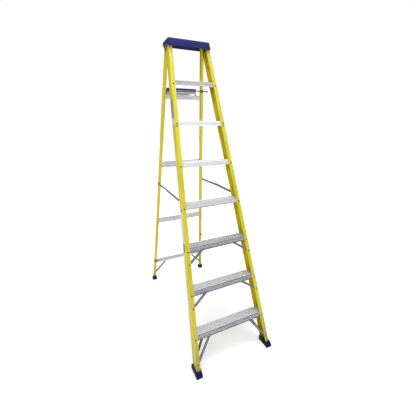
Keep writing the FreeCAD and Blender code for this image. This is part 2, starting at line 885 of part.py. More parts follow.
def spreader(label, side):
    pin_radius = size("spreader_pin_radius")
    running = pin_radius + size("running_fit")
    front_low = low_side(side, front_bar_plane, mm("front_bar_thick"))
    rear_low = low_side(side, spreader_plane, mm("rear_bar_thick"))
    keep("spreader_front_" + label, flat_bar(
        "spreader_front_" + label, front_pivot, knee, front_low,
        size("front_bar_width"), size("front_bar_thick"), running, running,
    ))
    keep("spreader_rear_" + label, flat_bar(
        "spreader_rear_" + label, rear_pivot, knee, rear_low,
        size("rear_bar_width"), size("rear_bar_thick"), running, running,
    ))

    # The centre rivet sits in the front bar only and ends flush with its inner face.
    name = "spreader_rivet_" + label
    outside = front_bar_plane + mm("front_bar_thick") + mm("face_gap")
    shank_low = low_side(side, front_bar_plane, mm("front_bar_thick") + mm("face_gap") * 2)
    shank = pin(
        name + "_shank", shank_low, knee.y, knee.z, pin_radius, mm("front_bar_thick") + mm("face_gap") * 2,
    )
    head_low = low_side(side, outside, mm("spreader_head_height"))
    head = pin(
        name + "_head", head_low, knee.y, knee.z, size("spreader_head_radius"), size("spreader_head_height"),
    )
    keep(name, fuse(name + "_joined", [shank, head]))

    # Bracket on the back of the front rail, with its ear between the rail and the bar.
    name = "spreader_bracket_" + label
    foot_inner = front.half_width(front_pivot_along) - mm("rail_flange") + mm("seat_gap")
    back = mm("rail_depth") + mm("face_gap")
    low_along = front_pivot_along - mm("bracket_height") / 2
    foot_low = low_side(side, foot_inner, ear_inner + mm("bracket_thick") - foot_inner)
    foot = box(
        name + "_foot", front.frame(foot_low, low_along, back), (0, 0, 0),
        (ear_inner + mm("bracket_thick") - foot_inner, size("bracket_thick"), size("bracket_height")),
    )
    ear_low = low_side(side, ear_inner, mm("bracket_thick"))
    ear_reach = mm("spreader_stand_off") + mm("front_bar_width") / 2 - mm("face_gap")
    ear_height = size("front_bar_width")
    ear = box(
        name + "_ear", front.frame(ear_low, front_pivot_along - ear_height.value / 2, back), (0, 0, 0),
        (size("bracket_thick"), ear_reach, ear_height),
    )
    hole = pin(
        name + "_hole", ear_low - 1, front_pivot.y, front_pivot.z,
        pin_radius + size("fixed_fit"), size("bracket_thick") + 2,
    )
    keep(name, cut(name + "_cut", fuse(name + "_joined", [foot, ear]), [hole]))


def headed_pin(x_inner, x_outer, centre, side, head_inner):
    """A pin along X with a head outside x_outer and a smaller head inside x_inner."""
    direction = Vector(side, 0, 0)
    base = Vector(side * x_inner, centre.y, centre.z)
    gap = mm("face_gap")
    length = x_outer - x_inner + gap
    shank = Part.makeCylinder(mm("spreader_pin_radius"), length, base, direction)
    outer = Part.makeCylinder(
        mm("spreader_head_radius"), mm("spreader_head_height"), base + direction * length, direction,
    )
    inner = Part.makeCylinder(head_inner, mm("spreader_head_height"), base, -direction)
    return shank.fuse([outer, inner]).removeSplitter()


for label, side in SIDES.items():
    spreader(label, side)

front_pins = []
rear_pins = []
for side in SIDES.values():
    bar_outside = front_bar_plane + mm("front_bar_thick")
    front_pins.append(headed_pin(
        ear_inner - mm("face_gap"), bar_outside, front_pivot, side, mm("spreader_pin_radius") * 1.3,
    ))
    web_inside = rear.half_width(mm("spreader_along")) - mm("rear_wall") - mm("seat_gap") * 2
    bar_outside = spreader_plane + mm("rear_bar_thick")
    rear_pins.append(headed_pin(web_inside, bar_outside, rear_pivot, side, mm("spreader_pin_radius") * 1.6))
group("spreader_pins_front", front_pins)
group("spreader_pins_rear", rear_pins)

# ---------------------------------------------------------------- pail shelf

shelf_along = bar_place(4)[1] + mm("shelf_rise")
shelf_pin = rear.point(0, shelf_along, mm("shelf_pin_depth"))
deck_top = shelf_pin.z + mm("shelf_deck_above_pin")
shelf_left = rear.half_width(shelf_along) - mm("shelf_left_gap")
shelf_right = rear.half_width(shelf_along) - mm("shelf_right_gap")


def pail_shelf():
    """A pressed tray, open below, with a taller front skirt; it lies level behind the rear rails."""
    sheet_wall = size("shelf_sheet")
    left = as_size(-shelf_left)
    right = as_size(shelf_right)
    back = size("shelf_depth")
    back_left = left + size("shelf_rear_taper")
    body = new_body("pail_shelf_tray")
    rim = [(left, 0), (right, 0), (right, back), (back_left, back)]
    pad(body, outline(body, "XY_Plane", "Rim", rim), size("shelf_side"))
    hollow = [
        (left + sheet_wall, sheet_wall),
        (right - sheet_wall, sheet_wall),
        (right - sheet_wall, back - sheet_wall),
        (back_left + sheet_wall, back - sheet_wall),
    ]
    sketch = outline(body, "XY_Plane", "Hollow", hollow)
    pocket(body, sketch, size("shelf_side") - sheet_wall, reverse=True)
    body.Placement = placement(
        Vector(0, shelf_pin.y - mm("shelf_nose"), deck_top - mm("shelf_side")), X_AXIS, Y_AXIS, Z_AXIS,
    )
    width = shelf_left + shelf_right
    frame = placement(
        Vector(-shelf_left, shelf_pin.y - mm("shelf_nose"), deck_top), X_AXIS, Y_AXIS, Z_AXIS,
    )
    skirt = box("pail_shelf_skirt", frame, (0, 0, -size("shelf_skirt")), (width, sheet_wall, size("shelf_skirt")))
    holes = pin(
        "pail_shelf_holes", -shelf_left - 1, shelf_pin.y, shelf_pin.z,
        size("shelf_pin_radius") + size("fixed_fit"), width + 2,
    )
    keep("pail_shelf", cut("pail_shelf_cut", fuse("pail_shelf_joined", [body, skirt]), [holes]))

    # Moulded trim along the front edge, with a deeper block at its left end.
    thick = size("trim_thick")
    gap = size("face_gap")
    strip = box(
        "trim_strip", frame, (0, -thick - gap, -size("trim_height")), (width, thick, size("trim_height")),
    )
    tall = size("trim_block_height")
    block = box("trim_block", frame, (0, -thick - gap, -tall), (size("trim_block_width"), thick, tall))
    keep("pail_shelf_trim", fuse("pail_shelf_trim_joined", [strip, block]))


def shelf_bracket(label, x_low):
    """A plate standing on the top rear bar, with the hole that the shelf pin turns in."""
    name = "shelf_bracket_" + label
    bottom = bar_place(4)[1] + mm("face_gap")
    frame = rear.frame(x_low, bottom, mm("rear_wall") + mm("seat_gap"))
    height = size("shelf_rise") + size("shelf_plate_top")
    ahead = size("shelf_plate_front")
    thick = size("shelf_plate_thick")
    plate = box(name + "_plate", frame, (0, -ahead, 0), (thick, ahead + size("shelf_plate_back"), height))
    hole = pin(
        name + "_hole", x_low - 1, shelf_pin.y, shelf_pin.z,
        size("shelf_pin_radius") + size("running_fit"), thick + 2,
    )
    keep(name, cut(name + "_cut", plate, [hole]))


def shelf_pins():
    """Two pins fixed in the sides of the tray."""
    length = mm("shelf_pin_length")
    reach = mm("shelf_pin_reach")
    solids = []
    for start in (-shelf_left - reach, shelf_right - length + reach):
        centre = Vector(start, shelf_pin.y, shelf_pin.z)
        solids.append(Part.makeCylinder(mm("shelf_pin_radius"), length, centre, X_AXIS))
    group("shelf_pins", solids)


def latch_rod():
    """A rod across the front of the right rear rail, held by a clip, with a knob outside the rail."""
    radius = size("latch_rod_radius")
    stand_off = -mm("latch_rod_radius") - mm("latch_rod_gap")
    along = shelf_along - mm("latch_rod_drop")
    start = shelf_right + mm("latch_rod_start")
    end = rear.half_width(along) + mm("latch_rod_out")
    place = rear.point(0, along, stand_off)
    rod = pin("latch_rod_bar", start, place.y, place.z, radius, end - start)
    knob = pin(
        "latch_rod_knob", end - mm("latch_knob_set_back"), place.y, place.z, radius * 1.45,
        size("latch_knob_length"),
    )
    keep("latch_rod", fuse("latch_rod_joined", [rod, knob]))
    name = "latch_clip"
    inner = rear.half_width(along) - mm("rear_flange") + 1
    reach = 2 * mm("latch_rod_radius") + mm("latch_clip_cover")
    frame = rear.frame(inner, along - mm("latch_clip_height") / 2, -reach)
    wide = size("latch_clip_width")
    plate = box(name + "_plate", frame, (0, 0, 0), (wide, reach - mm("face_gap"), size("latch_clip_height")))
    hole = pin(name + "_hole", inner - 1, place.y, place.z, radius + size("fixed_fit"), wide + 2)
    keep(name, cut(name + "_cut", plate, [hole]))


pail_shelf()
shelf_bracket("left", -shelf_left - mm("shelf_plate_gap") - mm("shelf_plate_thick"))
shelf_bracket("right", shelf_right + mm("shelf_plate_gap"))
shelf_pins()
latch_rod()

# ---------------------------------------------------------------- clips on the rear rails


def rear_clip(label, side, along):
    """A dark clip pushed onto the outside of a rear rail, open towards the bars."""
    name = "rear_clip_" + label
    wall = size("clip_wall")
    gap = size("fixed_fit")
    cover = wall + gap
    long = size("clip_width")
    frame = rear.rail_frame(side, along)
    low_x = -size("rear_flange") if side > 0 else -cover
    outer = box(
        name + "_outer", frame, (low_x, -cover, -long / 2),
        (size("rear_flange") + cover, size("rear_depth") + cover * 2, long),
    )
    hollow_x = -size("rear_flange") * 2 if side > 0 else -gap
    hollow = box(
        name + "_hollow", frame, (hollow_x, -gap, -long),
        (size("rear_flange") * 2 + gap, size("rear_depth") + gap * 2, long * 2),
    )
    keep(name, cut(name + "_cut", outer, [hollow]))


bar_one_middle = sum(bar_place(1)) / 2
clip_clear = mm("small_rivet_radius") + mm("clip_gap") + mm("clip_width") / 2
rear_clip("left", -1, bar_one_middle + clip_clear)
rear_clip("right", 1, bar_one_middle + mm("clip_rise"))

# ---------------------------------------------------------------- rivets and plates


def front_rivets():
    """Through the front flanges into the steps, and through the knee braces."""
    outward = -front.depth
    solids = []
    for side in SIDES.values():
        for number in range(1, STEP_COUNT + 1):
            middle = step_along(number) - mm("step_rivet_drop")
            shifts = (-0.5, 0.5) if number == TWIN_RIVET_STEP else (0,)
            for shift in shifts:
                along = middle + shift * mm("twin_rivet_pitch")
                x = side * (front.half_width(along) - mm("rail_flange") * 0.46)
                solids.append(rivet_head(front.point(x, along, 0), outward))
        for number in braced_steps:
            foot, head = knee_ends(number)
            solids.append(rivet_head(front.point(side * foot[0], foot[1], 0), outward))
            solids.append(rivet_head(
                front.point(side * head[0], head[1], flange_inside), outward,
                mm("small_rivet_radius"), mm("small_rivet_height"),
            ))
    group("front_rivets", solids)


def rear_rivets():
    """Through the front flanges of the rear rails into the bars and braces."""
    outward = -rear.depth
    solids = []
    for side in SIDES.values():
        for number in REAR_BARS:
            low, high = bar_place(number)
            along = (low + high) / 2
            x = side * (rear.half_width(along) - mm("rear_flange") * 0.5)
            solids.append(rivet_head(
                rear.point(x, along, 0), outward, mm("small_rivet_radius"), mm("small_rivet_height"),
            ))
    group("rear_rivets", solids)


def cap_rivets():
    """Through the sides of the cap into the front rails."""
    solids = []
    for side in SIDES.values():
        for depth in (mm("rail_depth") * 0.26, mm("rail_depth") * 0.74):
            place = front.point(0, hinge_along - mm("cap_rivet_drop"), depth)
            place.x = side * (cap_half - cap_narrowing(place.z - hinge.z))
            solids.append(rivet_head(place, Vector(side, 0, front.taper).normalize()))
    group("cap_rivets", solids)


# Lower and upper end along the rail, distance from its front face, width.
RAIL_PLATES = (
    (1851.0, 1975.0, 40.0, 26.0),
    (1601.0, 1788.0, 16.0, 46.0),
    (979.0, 1162.0, 22.0, 40.0),
    (697.0, 858.0, 22.0, 40.0),
)


def rail_plates():
    """Blank information plates on the outside of the left front rail."""
    solids = []
    thick = mm("plate_thick")
    for low, high, start, wide in RAIL_PLATES:
        plate = Part.makeBox(thick, wide, high - low)
        corner = Placement(Vector(-thick - mm("face_gap"), start, 0), FreeCAD.Rotation())
        plate.Placement = front.rail_frame(-1, low).multiply(corner)
        solids.append(plate)
    group("rail_plates", solids)


front_rivets()
rear_rivets()
cap_rivets()
rail_plates()

# ---------------------------------------------------------------- check and export

doc.recompute()
for item in doc.Objects:
    if "Invalid" in item.State or "Error" in item.State:
        raise RuntimeError("%s did not build: %s" % (item.Label, item.State))
for node in nodes:
    if node.Shape.isNull() or not node.Shape.isValid():
        raise RuntimeError("%s has no valid shape" % node.Label)
for node in nodes:
    node.Shape.exportStep("parts/%s.step" % node.Label)
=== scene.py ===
import json
import math

import bmesh
import bpy
from mathutils import Matrix, Vector


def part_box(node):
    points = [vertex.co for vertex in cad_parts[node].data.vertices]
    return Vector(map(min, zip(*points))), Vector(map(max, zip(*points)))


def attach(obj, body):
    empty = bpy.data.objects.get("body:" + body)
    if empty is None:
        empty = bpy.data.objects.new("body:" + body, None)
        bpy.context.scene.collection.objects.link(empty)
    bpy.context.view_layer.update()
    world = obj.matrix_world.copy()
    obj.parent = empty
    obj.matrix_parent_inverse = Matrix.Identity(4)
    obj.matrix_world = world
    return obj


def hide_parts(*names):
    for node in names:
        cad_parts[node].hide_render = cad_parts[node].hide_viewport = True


# Step ladder: fibreglass rails, ribbed aluminium treads, moulded cap, pressed spreaders and a pail shelf.
# Lengths are metres. +Z is up, the climbing side faces -Y, and every piece lies in the mesh's own place.

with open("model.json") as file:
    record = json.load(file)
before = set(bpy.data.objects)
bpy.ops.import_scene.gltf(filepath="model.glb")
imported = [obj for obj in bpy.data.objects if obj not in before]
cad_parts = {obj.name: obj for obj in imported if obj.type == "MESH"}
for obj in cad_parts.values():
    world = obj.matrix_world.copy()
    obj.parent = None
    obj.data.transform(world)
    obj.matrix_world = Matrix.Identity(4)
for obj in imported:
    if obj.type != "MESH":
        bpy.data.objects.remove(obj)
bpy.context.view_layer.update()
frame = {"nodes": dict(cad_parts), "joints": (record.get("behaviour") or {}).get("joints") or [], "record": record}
bpy.ops.object.select_all(action="DESELECT")

X_AXIS = Vector((1, 0, 0))
Y_AXIS = Vector((0, 1, 0))
Z_AXIS = Vector((0, 0, 1))
SIDES = {"left": -1, "right": 1}
JOINTS = {joint["name"]: Vector(joint["pos_m"]) for joint in frame["joints"]}
MM = 0.001
FACING_UP = "facing_up"


# ---------------------------------------------------------------- materials


class Wire:
    """The output of a shader node. Arithmetic on it adds the Math nodes."""

    def __init__(self, paint, socket):
        self.paint = paint
        self.socket = socket

    def work(self, operation, first, second):
        return self.paint.node("Math", {"operation": operation}, {0: first, 1: second})

    def __add__(self, other):
        return self.work("ADD", self, other)

    def __sub__(self, other):
        return self.work("SUBTRACT", self, other)

    def __rsub__(self, other):
        return self.work("SUBTRACT", other, self)

    def __mul__(self, other):
        return self.work("MULTIPLY", self, other)

    def __truediv__(self, other):
        return self.work("DIVIDE", self, other)

    def __pow__(self, other):
        return self.work("POWER", self, other)

    __radd__ = __add__
    __rmul__ = __mul__


class Paint:
    """A finish under construction: one principled shader and the nodes that feed it."""

    def __init__(self, name):
        self.material = bpy.data.materials.new(name)
        self.material.use_nodes = True
        self.tree = self.material.node_tree
        self.shader = self.tree.nodes["Principled BSDF"]

    def node(self, kind, settings=None, values=None, output=0):
        item = self.tree.nodes.new("ShaderNode" + kind)
        for key, value in (settings or {}).items():
            if key == "stops":
                while len(item.color_ramp.elements) < len(value):
                    item.color_ramp.elements.new(0.5)
                for stop, (place, colour) in zip(item.color_ramp.elements, value):
                    stop.position = place
                    stop.color = (*colour, 1)
            elif key == "interpolation":
                item.color_ramp.interpolation = value
            else:
                setattr(item, key, value)
        for key, value in (values or {}).items():
            self.feed(item.inputs[key], value)
        return Wire(self, item.outputs[output])

    def feed(self, socket, value):
        if isinstance(value, Wire):
            self.tree.links.new(value.socket, socket)
        elif socket.type == "RGBA" and len(value) == 3:
            socket.default_value = (*value, 1)
        else:
            socket.default_value = value

    def spot(self):
        """Object coordinates, which are the place in the shared frame."""
        return self.node("TexCoord", output=3)

    def place(self, stretch=(1, 1, 1), turn=(0, 0, 0)):
        """Object coordinates, turned into line with the piece and then stretched."""
        turned = self.node("Mapping", {"vector_type": "POINT"}, {"Vector": self.spot(), "Rotation": turn})
        return self.node("Mapping", {"vector_type": "POINT"}, {"Vector": turned, "Scale": stretch})

    def noise(self, place, scale, detail=2.0, roughness=0.5):
        values = {"Vector": place, "Scale": scale, "Detail": detail, "Roughness": roughness}
        return self.node("TexNoise", {}, values)

    def step(self, value, low, high, start=0.0, end=1.0):
        """Smooth change from start to end while value goes from low to high."""
        values = {0: value, 1: low, 2: high, 3: start, 4: end}
        return self.node("MapRange", {"interpolation_type": "SMOOTHSTEP"}, values)

    def mix(self, share, first, second):
        return self.node("Mix", {"data_type": "RGBA"}, {0: share, 6: first, 7: second}, output=2)

    def bump(self, height, distance, strength=1.0, over=None):
        values = {"Height": height, "Distance": distance, "Strength": strength}
        if over is not None:
            values["Normal"] = over
        return self.node("Bump", {}, values)

    def finish(self, **inputs):
        for key, value in inputs.items():
            self.feed(self.shader.inputs[key.replace("_", " ")], value)
        return self.material


def srgb(red, green, blue):
    """A colour named by its 0-255 screen values."""
    parts = []
    for value in (red, green, blue):
        share = value / 255
        parts.append(share / 12.92 if share <= 0.04045 else ((share + 0.055) / 1.055) ** 2.4)
    return tuple(parts)


def height_above_floor(paint):
    return paint.node("SeparateXYZ", {}, {0: paint.spot()}, output=2)


def fibreglass(name, lean, splay):
    """Pultruded resin rail: lengthwise glass streaks, fine veil, scuffs and grime by the feet."""
    paint = Paint(name)
    turn = (lean, splay, 0)
    streak_place = paint.place((1, 1, 0.012), turn)
    streaks = paint.noise(streak_place, 420.0, 3.0, 0.6)
    broad = paint.noise(paint.place((1, 1, 0.06), turn), 26.0, 2.0)
    veil = paint.noise(paint.place((1, 1, 0.35), turn), 900.0, 2.0, 0.7)
    height = height_above_floor(paint)
    deep = paint.mix(paint.step(broad, 0.3, 0.7), srgb(194, 179, 14), srgb(208, 194, 24))
    lined = paint.mix(paint.step(streaks, 0.42, 0.72, 0.0, 0.45), deep, srgb(219, 207, 56))
    mottled = paint.mix(paint.step(veil, 0.35, 0.75, 0.0, 0.22), lined, srgb(186, 166, 20))
    scuff_noise = paint.noise(paint.place((1, 1, 0.2), turn), 60.0, 5.0, 0.65)
    scuffs = paint.step(scuff_noise, 0.63, 0.72, 0.0, 0.35)
    scuffed = paint.mix(scuffs, mottled, srgb(196, 184, 96))
    grime = paint.step(height, 0.30, 0.02) * paint.step(scuff_noise, 0.35, 0.75, 0.1, 0.6)
    colour = paint.mix(grime, scuffed, srgb(92, 84, 46))
    roughness = 0.36 + streaks * 0.12 + scuffs * 0.3
    relief = streaks * 0.7 + veil * 0.3
    return paint.finish(
        Base_Color=colour, Roughness=roughness, Specular_IOR_Level=0.45,
        Normal=paint.bump(relief, 0.00012, 0.6),
    )


def drawn_aluminium(
    name, tone, worn, turn=(0, 0, 0), run=(0.01, 1, 1), metallic=0.75, roughness=0.34, highlight_tone=None,
):
    """Extruded or rolled aluminium: die lines along the run, handling marks and a little oxide. Given a highlight
    tone, up-facing tops get a painted highlight and the skirts between about 0.8 m and 2 m up get a painted glare.
    """
    paint = Paint(name)
    lines = paint.noise(paint.place(run, turn), 900.0, 3.0, 0.65)
    bands = paint.noise(paint.place(run, turn), 130.0, 2.0)
    cloud = paint.noise(paint.place((1, 1, 1), turn), 14.0, 4.0, 0.6)
    smear = paint.noise(paint.place((1, 1, 1), turn), 75.0, 5.0, 0.7)
    marks = paint.step(smear, 0.58, 0.72, 0.0, 0.5)
    brushed = paint.mix(paint.step(lines, 0.35, 0.7), tone, worn)
    clouded = paint.mix(paint.step(cloud, 0.4, 0.75, 0.0, 0.35), brushed, tuple(0.78 * part for part in tone))
    colour = paint.mix(marks, clouded, tuple(0.62 * part for part in tone))
    if highlight_tone:
        # Painted highlight: faces that point up take the near-white highlight tone and the sides keep the darker
        # grey, as if lamps overhead lit the tops.
        facing_up = paint.node("Attribute", {"attribute_name": FACING_UP}, output=2)
        top = paint.step(facing_up, 0.5, 0.85)
        lit_top_colour = paint.mix(marks * 0.4, highlight_tone, worn)
        height = height_above_floor(paint)
        # Painted glare: the reflection of the front lamps is painted onto the skirts between about 0.8 m and 2 m
        # up, strongest from 1.3 m to 1.8 m.
        glare_band = paint.step(height, 0.75, 1.3, 0.0, 0.85) * paint.step(height, 1.78, 2.02, 1.0, 0.35)
        bright = paint.mix(lines * 0.3, highlight_tone, worn)
        colour = paint.mix(top, paint.mix(glare_band, colour, bright), lit_top_colour)
        metallic = metallic - top * 0.45
    relief = lines * 0.6 + bands * 0.4
    return paint.finish(
        Base_Color=colour, Metallic=metallic,
        Roughness=roughness + bands * 0.14 + marks * 0.25,
        Normal=paint.bump(relief, 0.00008, 0.7),
    )


def dark_steel(name, tone, edge, turn=(0, 0, 0)):
    """Zinc-phosphated steel strip: rolled grain, rubbed patches and specks of dust."""
    paint = Paint(name)
    grain = paint.noise(paint.place((1, 1, 1), turn), 700.0, 3.0, 0.7)
    patches = paint.noise(paint.place((1, 1, 1), turn), 38.0, 4.0, 0.65)
    specks = paint.node("TexVoronoi", {}, {"Vector": paint.place(), "Scale": 420.0})
    rubbed = paint.step(patches, 0.5, 0.72, 0.0, 0.7)
    colour = paint.mix(rubbed, tone, edge)
    dusty = paint.mix(paint.step(specks, 0.12, 0.04, 0.0, 0.3), colour, srgb(150, 148, 150))
    return paint.finish(
        Base_Color=dusty, Metallic=0.6 + rubbed * 0.3,
        Roughness=0.5 - rubbed * 0.14 + grain * 0.1,
        Normal=paint.bump(grain, 0.00008, 0.6),
    )


def moulded_plastic(name, tone, sheen, worn, roughness=0.5, grain_scale=1500.0, gloss=0.5):
    """Moulded thermoplastic: spark-eroded texture, flow clouds and scuffs."""
    paint = Paint(name)
    stipple = paint.node("TexVoronoi", {}, {"Vector": paint.place(), "Scale": grain_scale})
    leather = paint.noise(paint.place(), grain_scale * 0.5, 3.0, 0.7)
    flow = paint.noise(paint.place((1, 1, 0.6)), 11.0, 3.0)
    scratch_noise = paint.noise(paint.place((0.25, 1, 1), (0, 0, 0.6)), 160.0, 4.0, 0.7)
    scratches = paint.step(scratch_noise, 0.62, 0.70, 0.0, 0.35)
    clouded = paint.mix(paint.step(flow, 0.3, 0.72), tone, sheen)
    colour = paint.mix(scratches, clouded, worn)
    return paint.finish(
        Base_Color=colour, Specular_IOR_Level=gloss,
        Roughness=roughness + leather * 0.16 - scratches * 0.15,
        Normal=paint.bump(stipple * 0.5 + leather * 0.5, 0.00014, 0.5),
    )


def rubber(name):
    """Moulded tread rubber: matt, with chalky wear and grit."""
    paint = Paint(name)
    grit = paint.noise(paint.place(), 1100.0, 4.0, 0.75)
    chalk = paint.noise(paint.place(), 46.0, 5.0, 0.7)
    worn = paint.step(chalk, 0.45, 0.75, 0.0, 0.6)
    colour = paint.mix(worn, srgb(28, 28, 31), srgb(84, 82, 80))
    return paint.finish(
        Base_Color=colour, Roughness=0.78 + grit * 0.16,
        Normal=paint.bump(grit, 0.0002, 0.7),
    )


def plated(name, tone, tarnish, roughness=0.28):
    """Zinc-plated fasteners: turning marks and a dull bloom."""
    paint = Paint(name)
    bloom = paint.noise(paint.place(), 240.0, 4.0, 0.65)
    fine = paint.noise(paint.place(), 1800.0, 2.0, 0.6)
    dull = paint.step(bloom, 0.42, 0.7, 0.0, 0.75)
    return paint.finish(
        Base_Color=paint.mix(dull, tone, tarnish), Metallic=0.85,
        Roughness=roughness + dull * 0.25 + fine * 0.08,
        Normal=paint.bump(fine, 0.00005, 0.6),
    )


def plate_film(name):
    """Blank printed film: bands of plain colour by height and rubbed patches."""
    paint = Paint(name)
    height = height_above_floor(paint)
    share = height / 2.0
    stops = [
        (0.0, srgb(186, 176, 178)), (0.400, srgb(48, 44, 52)), (0.430, srgb(190, 188, 184)),
        (0.542, srgb(35, 38, 86)), (0.70, srgb(62, 60, 64)), (0.811, srgb(212, 210, 204)),
        (0.87, srgb(134, 134, 132)),
    ]
    bands = paint.node("ValToRGB", {"interpolation": "CONSTANT", "stops": stops}, {0: share})
    rub = paint.noise(paint.place((1, 1, 0.5)), 120.0, 5.0, 0.7)
    worn = paint.step(rub, 0.55, 0.72, 0.0, 0.4)
    colour = paint.mix(worn, bands, srgb(160, 152, 120))
    return paint.finish(
        Base_Color=colour, Roughness=0.32 + worn * 0.4,
        Normal=paint.bump(rub, 0.00006, 0.5), Coat_Weight=0.15,
    )


def studio_floor(name):
    """Pale seamless floor with a barely visible tooth."""
    paint = Paint(name)
    tooth = paint.noise(paint.place(), 300.0, 3.0, 0.6)
    drift = paint.noise(paint.place(), 0.8, 2.0)
    colour = paint.mix(paint.step(drift, 0.3, 0.7), srgb(250, 250, 250), srgb(253, 253, 253))
    away = paint.node("VectorMath", {"operation": "LENGTH"}, {0: paint.spot()}, output=1)
    glow = paint.step(away, 0.3, 3.2, 0.38, 1.0)
    return paint.finish(
        Base_Color=colour, Roughness=0.75 + tooth * 0.15, Normal=paint.bump(tooth, 0.0002, 0.3),
        Emission_Color=paint.mix(glow, (0, 0, 0), (1, 1, 1)), Emission_Strength=0.9,
    )


# ---------------------------------------------------------------- places of the CAD pieces


def corners(node):
    return [vertex.co for vertex in frame["nodes"][node].data.vertices]


def turned_frame(run, depth):
    """A rotation whose Z follows run and whose Y is as near to depth as it can be."""
    z_axis = run.normalized()
    x_axis = depth.cross(z_axis).normalized()
    y_axis = z_axis.cross(x_axis)
    return Matrix((x_axis, y_axis, z_axis)).transposed()


def ends(node, axis):
    """Mean corner at the low end and at the high end of a straight piece."""
    points = corners(node)
    for reach in (0.5, 0.06, 0.002):
        marks = [point.dot(axis) for point in points]
        edge = reach * (max(marks) - min(marks))
        low = [point for point, mark in zip(points, marks) if mark < min(marks) + edge]
        high = [point for point, mark in zip(points, marks) if mark > max(marks) - edge]
        low_end, high_end = (sum(chosen, Vector()) / len(chosen) for chosen in (low, high))
        axis = (high_end - low_end).normalized()
    return low_end, high_end


class Seat:
    """The box that a CAD piece fills, measured along the axes of a turned frame."""

    def __init__(self, node, turn=None, points=None):
        self.turn = turn or Matrix.Identity(3)
        local = [self.turn.transposed() @ point for point in (points or corners(node))]
        self.low = Vector([min(point[axis] for point in local) for axis in range(3)])
        self.high = Vector([max(point[axis] for point in local) for axis in range(3)])
        self.size = self.high - self.low
        self.middle = (self.high + self.low) / 2


def straight_seat(node, axis, depth):
    low, high = ends(node, axis)
    return Seat(node, turned_frame(high - low, depth))


def clusters(node, reach):
    """Corner groups of the separate solids in one CAD piece."""
    groups = []
    for point in corners(node):
        for group in groups:
            if (group[0] - point).length < reach:
                group.append(point)
                break
        else:
            groups.append([point])
    return groups


def corner_of(node):
    low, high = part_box(node)
    return Vector((0, high.y, low.z))


def body_of(node):
    bodies = frame["record"]["behaviour"]["bodies"]
    return next(name for name, members in bodies.items() if node in members)


FRONT_ALONG = (corner_of("step_7") - corner_of("step_1")).normalized()
REAR_ALONG = (corner_of("rear_bar_4") - corner_of("rear_bar_1")).normalized()
FRONT_DEPTH = FRONT_ALONG.cross(X_AXIS)
REAR_DEPTH = REAR_ALONG.cross(X_AXIS)
FRONT_LEAN = math.atan2(FRONT_ALONG.y, FRONT_ALONG.z)
REAR_LEAN = math.atan2(REAR_ALONG.y, REAR_ALONG.z)
FRONT_TURN = turned_frame(FRONT_ALONG, FRONT_DEPTH)
REAR_TURN = turned_frame(REAR_ALONG, REAR_DEPTH)
HINGE = JOINTS["section_fold"]


# ---------------------------------------------------------------- modelling


def clear_selection():
    """Close whatever is open for editing and select nothing. Every new piece or finish starts with it."""
    if bpy.context.object and bpy.context.object.mode != "OBJECT":
        bpy.ops.object.mode_set(mode="OBJECT")
    bpy.ops.object.select_all(action="DESELECT")


def begin(name):
    """Name the primitive just added and open it for editing."""
    piece = bpy.context.object
    piece.name = name
    piece.data.name = name
    bpy.ops.object.mode_set(mode="EDIT")
    bpy.ops.mesh.select_mode(type="VERT")
    bpy.ops.mesh.select_all(action="SELECT")
    return piece


def pick(kind, test):
    """Select only the faces, edges or corners of the open mesh that pass the test."""
    bpy.ops.mesh.select_mode(type=kind)
    bpy.ops.mesh.select_all(action="DESELECT")
    data = bpy.context.object.data
    mesh = bmesh.from_edit_mesh(data)
    items = {"VERT": mesh.verts, "EDGE": mesh.edges, "FACE": mesh.faces}[kind]
    count = 0
    for item in items:
        if test(item):
            item.select_set(True)
            count += 1
    mesh.select_flush_mode()
    bmesh.update_edit_mesh(data)
    if not count:
        raise RuntimeError("nothing picked on " + bpy.context.object.name)


def edge_middle(edge):
    return (edge.verts[0].co + edge.verts[1].co) / 2


def rise(edge, axis=2):
    """How far apart the two ends of an edge lie along one axis."""
    return abs(edge.verts[0].co[axis] - edge.verts[1].co[axis])


def beside(centre, across):
    """The point that lies this far along the ladder's width from centre."""
    return centre + X_AXIS * across


def push(vector):
    bpy.ops.transform.translate(value=vector)


def extrude(vector):
    bpy.ops.mesh.extrude_region_move(TRANSFORM_OT_translate={"value": vector})


def round_edges(offset, segments=3):
    bpy.ops.mesh.bevel(offset=offset, segments=segments, affect="EDGES", clamp_overlap=True)


def prism(name, points, start, end, axis=2):
    """An outline drawn corner by corner, filled, and pulled out along one axis."""
    def spot(first, second):
        flat = {2: (first, second, start), 0: (start, first, second), 1: (second, start, first)}
        return Vector(flat[axis])

    clear_selection()
    bpy.ops.mesh.primitive_plane_add(size=0.01)
    piece = begin(name)
    bpy.ops.mesh.merge(type="CENTER")
    spots = [spot(*point) for point in points]
    push(spots[0])
    for before, after in zip(spots, spots[1:]):
        extrude(after - before)
    bpy.ops.mesh.select_all(action="SELECT")
    bpy.ops.mesh.edge_face_add()
    pull = [0.0, 0.0, 0.0]
    pull[axis] = end - start
    extrude(pull)
    bpy.ops.mesh.select_all(action="SELECT")
    bpy.ops.mesh.normals_make_consistent(inside=False)
    return piece


def block(name, low, high):
    """A box between two corners, left open for editing."""
    clear_selection()
    low, high = Vector(low), Vector(high)
    bpy.ops.mesh.primitive_cube_add(size=1, location=(low + high) / 2, scale=high - low)
    bpy.ops.object.transform_apply(location=True, rotation=True, scale=True)
    return begin(name)


def rod(name, start, end, radius, sides=32):
    """A round bar between two points, left open for editing."""
    clear_selection()
    start, end = Vector(start), Vector(end)
    run = end - start
    turn = run.to_track_quat("Z", "Y").to_euler()
    bpy.ops.mesh.primitive_cylinder_add(
        vertices=sides, radius=radius, depth=run.length, location=(start + end) / 2, rotation=turn,
    )
    bpy.ops.object.transform_apply(location=True, rotation=True, scale=True)
    return begin(name)


def activate(piece):
    clear_selection()
    bpy.context.view_layer.objects.active = piece
    piece.select_set(True)


